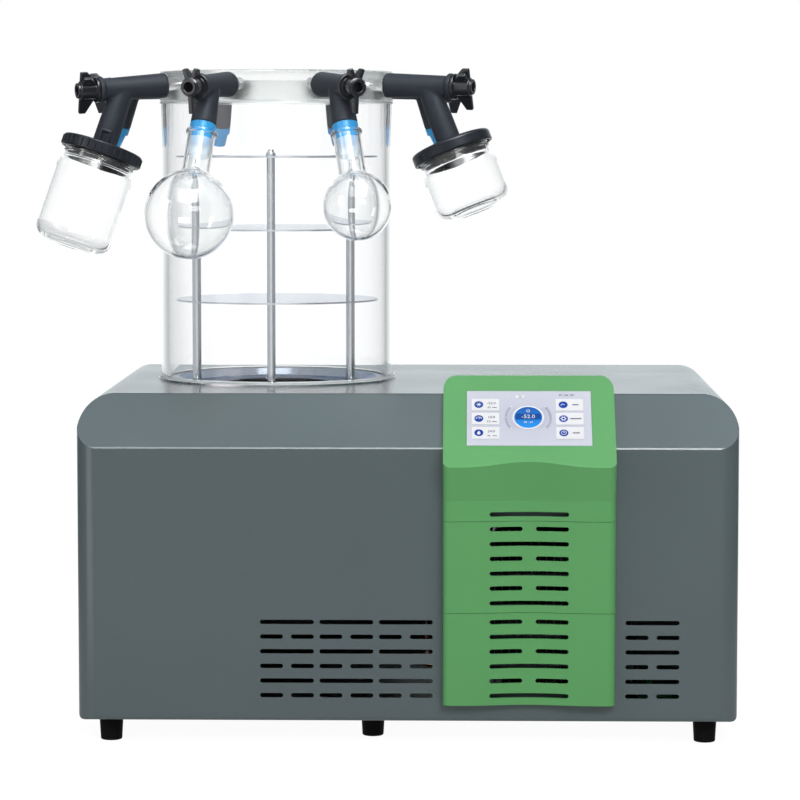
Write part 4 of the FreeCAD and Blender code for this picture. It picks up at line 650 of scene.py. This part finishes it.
def remeshed(bm, voxel):
    """A bmesh made anew on an even grid."""
    obj = linked("scratch", mesh_of("scratch", bm))
    remesh = obj.modifiers.new("even_grid", "REMESH")
    remesh.mode = "VOXEL"
    remesh.voxel_size = voxel
    bm = bmesh.new()
    bm.from_object(obj, bpy.context.evaluated_depsgraph_get())
    mesh = obj.data
    bpy.data.objects.remove(obj)
    bpy.data.meshes.remove(mesh)
    return bm


# ---- valves ----
def valve_rubber_mesh(port):
    """The valve's CAD form as soft rubber, filleted at its branch and drawn down to a jar's lid."""
    sleeve, gap = 4 * MM, 0.4 * MM
    fillet_reach, fillet_from = 2.2 * sizes().branch_r, 0.35 * sizes().branch_r
    fillet_passes, even_passes = 14, 2
    bm = bmesh.new()
    bm.from_mesh(NODES[f"valve_body_{port.number}"].data)
    bmesh.ops.remove_doubles(bm, verts=bm.verts, dist=SAME_POINT)
    bm = remeshed(bm, sizes().rubber_voxel)
    if port.number in JAR_LIDS:
        along = [(vertex.co - port.root).dot(port.down) for vertex in bm.verts]
        end = max(along)
        drop = lid_top(port) - end - gap
        for vertex, depth in zip(bm.verts, along):
            if depth > end - sleeve:
                vertex.co += port.down * drop
    for _ in range(fillet_passes):
        near = []
        for vertex in bm.verts:
            at = vertex.co - port.root
            if at.length < fillet_reach and at.dot(port.down) > fillet_from:
                near.append(vertex)
        relax(bm, near, 0.5)
    for _ in range(even_passes):
        relax(bm, bm.verts, 0.4)
    return bm


def knob_mesh(port):
    """A knob with a hollow hub, one long paddle and two short wings."""
    length = sizes().knob_length
    stem_r, flange_r, hub_r, mouth_r, bore_r = (r * MM for r in (5.92, 12.6, 9.0, 7.6, 4.6))
    stem, flange, collar, bore = 20 * MM, 3 * MM, 2 * MM, 12 * MM
    bm = bmesh.new()
    hub = [
        (0, -stem, 0),
        (stem_r, -stem, 0.6 * MM),
        (stem_r, 0, 0),
        (flange_r, 0, 0.8 * MM),
        (flange_r, flange, 0.8 * MM),
        (hub_r, flange, 0.7 * MM),
        (hub_r, length - collar - MM, 1.0 * MM),
        (mouth_r, length - collar, 0.5 * MM),
        (mouth_r, length, 0.7 * MM),
        (bore_r, length, 0.6 * MM),
        (bore_r, length - bore, 0.4 * MM),
        (0, length - bore, 0),
    ]
    move(bm, turn(bm, hub, segments=64, steps=4), rotation(90, "Y"))
    thick, wide, tip = 4.2 * MM, 15.5 * MM, 7.5 * MM
    high = length - 3 * MM
    low = high - wide
    wings = [(180, sizes().paddle_reach), (-20, sizes().wing_reach), (20, sizes().wing_reach)]
    for angle, end in wings:
        before = set(bm.verts)
        outline = [
            (low, hub_r - 2.5 * MM),
            (high, hub_r - 2.5 * MM),
            (high - MM, end),
            (high - tip, end),
            (low, hub_r + 0.5 * MM),
        ]
        face = bm.faces.new([bm.verts.new((x, -thick / 2, z)) for x, z in outline])
        walls = bmesh.ops.extrude_face_region(bm, geom=[face])
        lifted = [g for g in walls["geom"] if isinstance(g, bmesh.types.BMVert)]
        bmesh.ops.translate(bm, vec=(0, thick, 0), verts=lifted)
        ease_edges(bm, added(bm, before))
        move(bm, added(bm, before), rotation(angle, "X"))
    _, end_at, _ = reach(f"valve_knob_{port.number}", port.wall, port.out)
    at_rest = rotation(KNOB_TURNS.get(port.number, 0), "X")
    out_along_valve = basis(port.out, port.side, port.wall)
    move(bm, bm.verts, out_along_valve @ Matrix.Translation((end_at - length, 0, 0)) @ at_rest)
    return bm


# ---- jars ----
def lid_top(port):
    """How far down the branch the flat top of its jar's lid is."""
    spigot_r = 20 * MM
    lid = spans(JAR_LIDS[port.number], port.root, port.down)
    return min(along for along, radius in lid if radius > spigot_r)


def lug_mesh(port):
    """A small clip that stands on a jar's lid: a plate between two ribs, with a bar across the top."""
    wide, high, rib, deep, plate = (size * MM for size in (11.5, 14.5, 2.8, 3.6, 1.2))
    turned_by = 155
    away = sizes().branch_r + MM
    beside = (wide - rib) / 2
    bars = [
        (0, high / 2, wide - rib, plate, high),
        (-beside, high / 2, rib, deep, high),
        (beside, high / 2, rib, deep, high),
        (0, high - rib / 2, wide - rib, deep, rib),
    ]
    bm = bmesh.new()
    for x, z, width, depth, tall in bars:
        before = set(bm.verts)
        place = Matrix.Translation((x, -away - depth / 2, z))
        bmesh.ops.create_cube(bm, size=1.0, matrix=place @ Matrix.Diagonal((width, depth, tall, 1.0)))
        ease_edges(bm, added(bm, before))
    on_lid = port.branch_frame() @ Matrix.Translation((0, 0, -lid_top(port)))
    move(bm, bm.verts, on_lid @ rotation(turned_by, "Z"))
    return bm


def jar_mesh(port, node):
    """A wide-mouthed jar: screw threads, a bead under its lid, a thick base and a pushed-up punt."""
    top, bottom, body_r = reach(node, port.root, port.down)
    wall = sizes().jar_wall
    neck_r, base, punt, heel, shoulder, curve = (size * MM for size in (34, 3.4, 1.4, 14, 11, 20))
    ridges, ridge_out, ridge_half = (3.2 * MM, 6.6 * MM), 1.3 * MM, 1.2 * MM
    bead, bead_out = top + 10.6 * MM, 1.5 * MM
    neck_end = top + 13.7 * MM
    step, step_down, step_curve = 3 * MM, 2.5 * MM, 8 * MM
    outside = [(neck_r - wall / 2, -top, 0), (neck_r, -top, 0.8 * MM)]
    for ridge in ridges:
        outside += [
            (neck_r, -top - ridge + ridge_half, 0.5 * MM),
            (neck_r + ridge_out, -top - ridge, 0.5 * MM),
            (neck_r, -top - ridge - ridge_half, 0.5 * MM),
        ]
    outside += [
        (neck_r, -bead + 1.8 * MM, 0.5 * MM),
        (neck_r + bead_out, -bead, 0.9 * MM),
        (neck_r, -bead - 1.6 * MM, 0.5 * MM),
        (neck_r, -neck_end, 1.2 * MM),
        (body_r - step, -neck_end - step_down, step_curve),
        (body_r, -neck_end - shoulder, curve),
        (body_r, -bottom, heel),
        (body_r * 0.62, -bottom, 3 * MM),
        (body_r * 0.5, -bottom + punt, 6 * MM),
        (0, -bottom + punt, 0),
    ]
    inside = [
        (0, -bottom + base, 0),
        (body_r - wall, -bottom + base, heel - wall),
        (body_r - wall, -neck_end - shoulder, curve),
        (body_r - step - wall, -neck_end - step_down - wall, step_curve),
        (neck_r - wall, -neck_end - wall, 2 * MM),
        (neck_r - wall, -top, 0.8 * MM),
        (neck_r - wall / 2, -top, 0),
    ]
    bm = bmesh.new()
    turn(bm, outside, steps=6)
    turn(bm, inside, steps=6)
    bmesh.ops.remove_doubles(bm, verts=bm.verts, dist=SAME_POINT)
    move(bm, bm.verts, port.branch_frame())
    return bm


def seal_mesh(port, node):
    """The soft lip that stands down from a jar's lid, inside the glass."""
    top, _, _ = reach(node, port.root, port.down)
    outer, thick, low = 31.1 * MM, 2.2 * MM, 15 * MM
    section = [
        (outer - thick, -top - low / 2, 0),
        (outer - thick, -top, 0.5 * MM),
        (outer, -top, 0.5 * MM),
        (outer, -top - low, 0.9 * MM),
        (outer - thick, -top - low, 0.9 * MM),
        (outer - thick, -top - low / 2, 0),
    ]
    return turned(section, port.branch_frame())


# ---- flasks ----
def ground_joint_mesh(port, node):
    """The frosted inside of a flask's neck, from below its lip to below the stopper."""
    top, _, _ = reach(node, port.root, port.down)
    joint_r, start_at, run, thin, slope = (size * MM for size in (10.55, 8, 25, 0.35, 1.0))
    section = [
        (joint_r, -top - run / 2, 0),
        (joint_r, -top - start_at, 0),
        (joint_r - thin, -top - start_at, 0),
        (joint_r - thin - slope, -top - run, 0),
        (joint_r - slope, -top - run, 0),
        (joint_r, -top - run / 2, 0),
    ]
    return turned(section, port.branch_frame(), segments=64)


# ---- chamber ----
def tube_mesh():
    """The clear tube, with its cut ends eased."""
    low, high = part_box("chamber_tube")
    outer = (high.x - low.x) / 2
    inner = outer - sizes().tube_wall
    middle = (low.z + high.z) / 2
    ease = 0.5 * MM
    section = [
        (outer, middle, 0),
        (outer, high.z, ease),
        (inner, high.z, ease),
        (inner, low.z, ease),
        (outer, low.z, ease),
        (outer, middle, 0),
    ]
    return turned(section, Matrix.Translation(chamber_axis()), segments=2 * sizes().segments, steps=3)


# ---- screen ----
class Panel2D:
    """Thin shapes laid on the screen, in metres across and up its face."""

    LAYER = 0.06 * MM

    def __init__(self):
        self.bm = bmesh.new()

    def _raise(self, before):
        faces = [f for f in self.bm.faces if f not in before]
        lifted = bmesh.ops.extrude_face_region(self.bm, geom=faces)["geom"]
        verts = [g for g in lifted if isinstance(g, bmesh.types.BMVert)]
        bmesh.ops.translate(self.bm, vec=(0, 0, self.LAYER), verts=verts)

    def disc(self, u, v, radius, segments=48):
        before = set(self.bm.faces)
        place = Matrix.Translation((u, v, 0))
        bmesh.ops.create_circle(self.bm, cap_ends=True, radius=radius, segments=segments, matrix=place)
        self._raise(before)

    def plate(self, u, v, width, height, corner=0.0, turned_by=0.0):
        before = set(self.bm.faces)
        place = Matrix.Translation((u, v, 0)) @ rotation(turned_by, "Z")
        place = place @ Matrix.Diagonal((width, height, 1, 1))
        made = bmesh.ops.create_grid(self.bm, x_segments=1, y_segments=1, size=0.5, matrix=place)
        if corner:
            shape = {"affect": "VERTICES", "segments": 5, "profile": 0.5, "material": -1}
            bmesh.ops.bevel(self.bm, geom=made["verts"], offset=corner, **shape)
        self._raise(before)

    def arc(self, u, v, inner, outer, start_angle=0.0, sweep=360.0, segments=48):
        before = set(self.bm.faces)
        begin = rotation(start_angle, "Z")
        ends = [self.bm.verts.new(begin @ Vector((r, 0, 0))) for r in (inner, outer)]
        bmesh.ops.spin(
            self.bm,
            geom=ends + [self.bm.edges.new(ends)],
            cent=(0, 0, 0),
            axis=UP,
            angle=math.radians(sweep),
            steps=segments,
            use_merge=sweep == 360,
        )
        verts = {vert for face in self.bm.faces if face not in before for vert in face.verts}
        bmesh.ops.translate(self.bm, vec=(u, v, 0), verts=list(verts))
        self._raise(before)

    def figures(self, text, u, v, size):
        """Plain numbers, centred on a point."""
        curve = bpy.data.curves.new("figures", "FONT")
        curve.body = text
        curve.size = size
        curve.align_x, curve.align_y = "CENTER", "CENTER"
        curve.extrude = self.LAYER / 2
        obj = linked("figures", curve)
        graph = bpy.context.evaluated_depsgraph_get()
        mesh = bpy.data.meshes.new_from_object(obj.evaluated_get(graph))
        mesh.transform(Matrix.Translation((u, v, self.LAYER / 2)))
        self.bm.from_mesh(mesh)
        bpy.data.objects.remove(obj)
        bpy.data.curves.remove(curve)
        bpy.data.meshes.remove(mesh)

    def finish(self, name, material, layer):
        """Lays the shapes on the screen, a number of layers above its face."""
        bmesh.ops.remove_doubles(self.bm, verts=self.bm.verts, dist=SAME_POINT / 10)
        move(self.bm, self.bm.verts, screen_frame() @ Matrix.Translation((0, 0, self.LAYER * layer)))
        return piece(name, self.bm, material)


def screen_frame():
    """X across the screen and Y up its slope, from the middle of its face."""
    low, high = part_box("touch_screen")
    tilt = sizes().screen_tilt
    up_slope = Vector((0, math.sin(tilt), math.cos(tilt)))
    thick = 3 * MM
    return basis(Vector((1, 0, 0)), up_slope, (low + high) / 2) @ Matrix.Translation((0, 0, thick / 2))


def lay_out_screen():
    """A plain control page: three readings, three buttons and a central dial."""
    left, right, rows = -40.4 * MM, 37.6 * MM, [v * MM for v in (16.4, -1.0, -18.6)]
    icon_left, icon_right, icon_r = left - 6.2 * MM, right - 5.8 * MM, 4.15 * MM
    dial_u, dial_v, dial_r, rim = -0.8 * MM, 0.6 * MM, 13.0 * MM, 1.6 * MM
    tab_u, tab_v = -8.2 * MM, 26.4 * MM
    cards, icons, glyphs, ink, trim, dial, band = (Panel2D() for _ in range(7))
    for row in rows:
        for side, icon_u in ((left, icon_left), (right, icon_right)):
            cards.plate(side, row, 25.6 * MM, 14.6 * MM, corner=0.9 * MM)
            icons.disc(icon_u, row, icon_r)
    cards.plate(tab_u, tab_v, 8 * MM, 3.6 * MM, corner=1.6 * MM)
    cards.arc(dial_u, dial_v, dial_r, dial_r + rim)
    draw_glyphs(glyphs, icon_left, icon_right, rows)
    for row, lines in zip(rows, (("-52.0", "-50"), ("10.0", "0.5"), ("24.0", "36"))):
        ink.figures(lines[0], left + 5.4 * MM, row + 1.7 * MM, 4.0 * MM)
        ink.figures(lines[1], left + 3.0 * MM, row - 3.6 * MM, 2.9 * MM)
        ink.plate(left + 8.4 * MM, row - 3.6 * MM, 4.2 * MM, 0.7 * MM, corner=0.3 * MM)
    for row, width in zip(rows, (6.0, 10.4, 6.4)):
        ink.plate(right + 5.6 * MM, row, width * MM, 1.1 * MM, corner=0.5 * MM)
    ink.figures("25", tab_u, tab_v, 2.8 * MM)
    ink.figures("01 : 30 : 00", 35.0 * MM, 28.4 * MM, 3.0 * MM)
    for middle in (0, 180):
        for inner, outer, half in ((19.6 * MM, 21.8 * MM, 38), (16.6 * MM, 17.0 * MM, 46)):
            trim.arc(dial_u, dial_v, inner, outer, middle - half, 2 * half)
    for angle in (40, 0, -40, 140, 180, 220):
        there = rotation(angle, "Z") @ Vector((20.7 * MM, 0, 0))
        cards.disc(there.x + dial_u, there.y + dial_v, 0.75 * MM, 20)
    dial.disc(dial_u, dial_v, dial_r, 96)
    band.plate(dial_u, dial_v + MM, 23.4 * MM, 7.4 * MM, corner=1.2 * MM)
    glyphs.figures("-52.0", dial_u, dial_v + 0.8 * MM, 6.2 * MM)
    glyphs.figures("08 : 24", dial_u, dial_v - 6.2 * MM, 3.0 * MM)
    glyphs.arc(dial_u, dial_v + 8 * MM, 1.2 * MM, 1.7 * MM)
    trim.finish("screen_gauge_arcs", "screen_trim", 1)
    cards.finish("screen_cards", "screen_card", 1)
    dial.finish("screen_dial", "screen_dial", 2)
    icons.finish("screen_icons", "screen_icon", 3)
    band.finish("screen_dial_band", "screen_band", 3)
    ink.finish("screen_readings", "screen_ink", 4)
    glyphs.finish("screen_glyphs", "screen_card", 5)


def draw_glyphs(glyphs, left, right, rows):
    """White signs in the round icons: cold, vacuum, water; curve, settings, running time."""
    bar = 0.6 * MM
    end = 0.25 * MM
    for angle in (0, 60, 120):
        glyphs.plate(left, rows[0], 5.0 * MM, bar, corner=end, turned_by=angle)
    glyphs.arc(left, rows[1] - bar, 2.2 * MM, 2.8 * MM, 0, 180, 24)
    glyphs.plate(left + 0.7 * MM, rows[1] + 0.3 * MM, 2.6 * MM, bar, corner=end, turned_by=55)
    glyphs.disc(left, rows[2] - 0.7 * MM, 1.6 * MM, 32)
    glyphs.plate(left, rows[2] + 0.9 * MM, 1.7 * MM, 1.7 * MM, turned_by=45)
    glyphs.plate(right - 1.3 * MM, rows[0] + 0.1 * MM, 2.8 * MM, bar, corner=end, turned_by=50)
    glyphs.plate(right + 0.5 * MM, rows[0] + 0.3 * MM, 2.4 * MM, bar, corner=end, turned_by=-40)
    glyphs.arc(right, rows[1], 1.2 * MM, 2.1 * MM, 0, 360, 32)
    for angle in range(0, 360, 60):
        there = rotation(angle, "Z") @ Vector((2.5 * MM, 0, 0))
        glyphs.plate(right + there.x, rows[1] + there.y, 0.9 * MM, 0.9 * MM, turned_by=angle)
    glyphs.arc(right, rows[2], 2.0 * MM, 2.6 * MM, 0, 360, 32)
    glyphs.plate(right, rows[2] + 0.7 * MM, 0.55 * MM, 1.8 * MM, corner=0.2 * MM)
    glyphs.plate(right + 0.6 * MM, rows[2], 1.5 * MM, 0.55 * MM, corner=0.2 * MM)


# ---- studio ----
def area_lamp(name, place, target, size, mirrored=True):
    """A lamp with the power set under its name, and whether reflections show it."""
    lamp = bpy.data.lights.new(name, "AREA")
    lamp.shape = "RECTANGLE"
    lamp.size, lamp.size_y = size
    lamp.energy = getattr(studio(), name)
    obj = linked(name, lamp)
    obj.location = place
    obj.rotation_euler = (Vector(target) - Vector(place)).to_track_quat("-Z", "Y").to_euler()
    obj.visible_glossy = mirrored


def mirrored_room(across, forward):
    """What shiny surfaces see level with them: white behind, grey in front and dark to the sides."""
    behind, in_front = (1.02, 1.1, 1.13), (0.4, 0.41, 0.42)
    beside, window = (0.1, 0.11, 0.12), (1.9, 1.8, 1.85)
    room = blend(between(forward, 0.1, -0.3), behind, in_front)
    room = blend(between(abs(across), 0.35, 0.75), room, beside)
    in_window = between(across, -0.5, -0.6) * between(forward, -0.45, -0.55)
    return blend(in_window, room, window)


def refracted_room(across, forward):
    """What shows through clear parts: white behind, paler in front and grey to the sides."""
    behind, in_front = (1.17, 1.17, 1.17), (0.95, 0.95, 0.95)
    right, left = (0.36, 0.37, 0.38), (0.6, 0.62, 0.63)
    room = blend(between(forward, 0.1, -0.4), behind, in_front)
    room = blend(between(across, 0.2, 0.6), room, right)
    return blend(between(across, -0.2, -0.6), room, left)


def mirrored_sky(across, forward, rise):
    """The room with a ceiling, and a bright strip high up in front that is stronger to the right."""
    ceiling = blend(between(forward, 0.02, 0.2), (1.3, 1.5, 1.55), (0.22, 0.24, 0.28))
    room = blend(between(rise, 0.45, 0.75), mirrored_room(across, forward), ceiling)
    in_height = between(rise, 0.5, 0.56) * between(rise, 0.94, 0.9)
    in_strip = in_height * between(forward, -0.1, -0.2) * between(abs(across), 0.5, 0.3)
    strip = blend(between(across, -0.1, 0.15), (7.0, 7.2, 7.3), (23.0, 23.2, 23.4))
    return blend(in_strip, room, strip)


def glow(here, kind, colour, strength=1.0):
    return here.node(f"ShaderNode{kind}", {}, {"Color": colour, "Strength": strength})


def by_ray(here, surface, *cases):
    """A shader that differs for some kinds of ray: each case is a kind and its shader."""
    for kind, shader in cases:
        is_kind = here.node("ShaderNodeLightPath", out=f"Is {kind} Ray")
        surface = here.node("ShaderNodeMixShader", {}, {0: is_kind, 1: surface, 2: shader})
    return surface


def sky():
    """White to look at, a room in reflections, and dimmer at the sides as light."""
    world = bpy.data.worlds.new("studio")
    bpy.context.scene.world = world
    world.use_nodes = True
    world.node_tree.nodes.clear()
    way = Signal(world.node_tree).node("ShaderNodeTexCoord", out="Generated")
    across, forward, rise = parts_of(way)
    dim = blend(between(abs(across), 0.55, 0.9), (1.0, 1.0, 1.0), (0.45, 0.45, 0.45))
    light = glow(way, "Background", dim, studio().sky)
    mirrored = glow(way, "Background", mirrored_sky(across, forward, rise))
    refracted = glow(way, "Background", refracted_room(across, forward))
    seen = glow(way, "Background", WHITE)
    mixed = by_ray(way, light, ("Glossy", mirrored), ("Transmission", refracted), ("Camera", seen))
    way.node("ShaderNodeOutputWorld", {}, {"Surface": mixed})


def white_floor():
    """A matt floor that reads as white, and keeps a faint shadow. Far off, it mirrors the room."""
    bm = bmesh.new()
    bmesh.ops.create_grid(bm, x_segments=1, y_segments=1, size=9.0)
    mesh = mesh_of("floor", bm)
    here = start("floor_white")
    way = here.node("ShaderNodeVectorMath", {"operation": "NORMALIZE"}, {0: here}, out="Vector")
    across, forward, _ = parts_of(way)
    room = blend(between(length_of(here), 0.7, 1.5), (0.5, 0.5, 0.5), mirrored_room(across, forward))
    matt = here.node("ShaderNodeBsdfDiffuse", {}, {"Color": (0.9, 0.9, 0.9, 1.0)})
    bright = glow(here, "Emission", WHITE, 1.1)
    mirrored = glow(here, "Emission", room)
    refracted = glow(here, "Emission", refracted_room(across, forward))
    seen = here.node("ShaderNodeMixShader", {}, {0: studio().floor_glow, 1: matt, 2: bright})
    surface = by_ray(here, matt, ("Camera", seen), ("Glossy", mirrored), ("Transmission", refracted))
    here.node("ShaderNodeOutputMaterial", {}, {"Surface": surface})
    mesh.materials.append(MATERIALS["floor_white"])
    obj = linked("floor", mesh)


def camera():
    lens = bpy.data.cameras.new("camera")
    lens.lens = studio().lens
    lens.sensor_width = 36.0
    lens.clip_start, lens.clip_end = 0.05, 60.0
    obj = linked("camera", lens)
    obj.location = studio().camera_place
    obj.rotation_euler = (math.radians(90) - studio().camera_pitch, 0, studio().camera_yaw)
    bpy.context.scene.camera = obj


# ---- operators ----
class DRYER_OT_finishes(bpy.types.Operator):
    """Gives every part of the frame its finish."""

    bl_idname = "dryer.finishes"
    bl_label = "Finish the frame's parts"

    def execute(self, context):
        make_materials()
        missing = []
        for obj in NODES.values():
            for place in obj.material_slots:
                name = place.material.name.split(".")[0]
                if name not in MATERIALS:
                    missing.append(name)
                    continue
                place.material = MATERIALS[name]
        if missing:
            raise RuntimeError(f"no finish for {sorted(set(missing))}")
        for name in ("flask_large", "flask_small", "manifold_lid", "lid_gasket"):
            lets_light_through(NODES[name])
        return {"FINISHED"}


class DRYER_OT_valves(bpy.types.Operator):
    """Moulds the eight rubber valve bodies."""

    bl_idname = "dryer.valves"
    bl_label = "Valve bodies"

    def execute(self, context):
        for number in range(1, 9):
            bm = valve_rubber_mesh(Port(number))
            obj = piece(f"moulded_valve_{number}", bm, "valve_rubber", sharp=80, recalculate=False)
            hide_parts(f"valve_body_{number}")
        return {"FINISHED"}


class DRYER_OT_knobs(bpy.types.Operator):
    """Makes the eight winged knobs, each on its own joint."""

    bl_idname = "dryer.knobs"
    bl_label = "Valve knobs"

    def execute(self, context):
        for number in range(1, 9):
            bm = knob_mesh(Port(number))
            obj = piece(f"winged_knob_{number}", bm, "knob_plastic", body=f"knob_{number}")
            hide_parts(f"valve_knob_{number}")
        return {"FINISHED"}


class DRYER_OT_jars(bpy.types.Operator):
    """Blows the two jars, and fits the seals and the lug to their lids."""

    bl_idname = "dryer.jars"
    bl_label = "Jars"

    def execute(self, context):
        for number, node in JARS.items():
            port = Port(number)
            obj = lets_light_through(piece(f"{node}_glass", jar_mesh(port, node), "jar_glass"))
            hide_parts(node)
            piece(f"{node}_seal", seal_mesh(port, node), "black_plastic")
        piece("jar_lid_lug", lug_mesh(Port(LUG_PORT)), "lid_plastic")
        return {"FINISHED"}


class DRYER_OT_flasks(bpy.types.Operator):
    """Grinds the insides of the two flasks' necks."""

    bl_idname = "dryer.flasks"
    bl_label = "Flask necks"

    def execute(self, context):
        for number, node in FLASKS.items():
            joint = ground_joint_mesh(Port(number), node)
            lets_light_through(piece(f"{node}_joint", joint, "ground_glass"))
        return {"FINISHED"}


class DRYER_OT_chamber(bpy.types.Operator):
    """Turns the clear tube."""

    bl_idname = "dryer.chamber"
    bl_label = "Chamber tube"

    def execute(self, context):
        obj = lets_light_through(piece("clear_chamber_tube", tube_mesh(), "clear_acrylic"))
        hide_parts("chamber_tube")
        return {"FINISHED"}


class DRYER_OT_screen(bpy.types.Operator):
    """Lays the control page out on the screen."""

    bl_idname = "dryer.screen"
    bl_label = "Screen page"

    def execute(self, context):
        lay_out_screen()
        return {"FINISHED"}


class DRYER_OT_stage(bpy.types.Operator):
    """Sets up the floor, the sky, the lamps and the camera."""

    bl_idname = "dryer.stage"
    bl_label = "Studio"

    def execute(self, context):
        white_floor()
        sky()
        area_lamp("front_lamp", (0.55, -2.1, 1.1), (0.05, -0.1, 0.25), (1.1, 0.5), mirrored=False)
        area_lamp("top_lamp", (0.1, 0.1, 2.4), (0, 0, 0.3), (1.6, 1.0), mirrored=False)
        area_lamp("side_lamp", (-2.2, -1.3, 1.3), (-0.1, 0, 0.35), (0.5, 1.2))
        camera()
        context.scene.view_settings.view_transform = "Standard"
        cycles = context.scene.cycles
        cycles.max_bounces = cycles.transmission_bounces = cycles.glossy_bounces = GLASS_BOUNCES
        cycles.diffuse_bounces = 4
        return {"FINISHED"}


class DRYER_PT_panel(bpy.types.Panel):
    """Lists the freeze dryer's pieces and settings in the sidebar."""

    bl_idname = "DRYER_PT_panel"
    bl_label = "Freeze dryer"
    bl_space_type = "VIEW_3D"
    bl_region_type = "UI"
    bl_category = "Freeze dryer"

    def draw(self, context):
        for name, cls in GROUPS.items():
            for setting in cls.__annotations__:
                self.layout.prop(getattr(context.scene, name), setting)
        for operator in OPERATORS:
            self.layout.operator(operator.bl_idname)


GROUPS = {"dryer_colours": DryerColours, "dryer_sizes": DryerSizes, "dryer_studio": StudioSettings}
OPERATORS = [
    DRYER_OT_finishes,
    DRYER_OT_stage,
    DRYER_OT_valves,
    DRYER_OT_knobs,
    DRYER_OT_jars,
    DRYER_OT_flasks,
    DRYER_OT_chamber,
    DRYER_OT_screen,
]


def register():
    for cls in [*GROUPS.values(), *OPERATORS, DRYER_PT_panel]:
        bpy.utils.register_class(cls)
    for name, cls in GROUPS.items():
        setattr(bpy.types.Scene, name, PointerProperty(type=cls))


def unregister():
    for name in GROUPS:
        delattr(bpy.types.Scene, name)
    for cls in reversed([*GROUPS.values(), *OPERATORS, DRYER_PT_panel]):
        bpy.utils.unregister_class(cls)


def main():
    register()
    for operator in OPERATORS:
        group, name = operator.bl_idname.split(".")
        getattr(getattr(bpy.ops, group), name)()


if __name__ == "__main__":
    main()
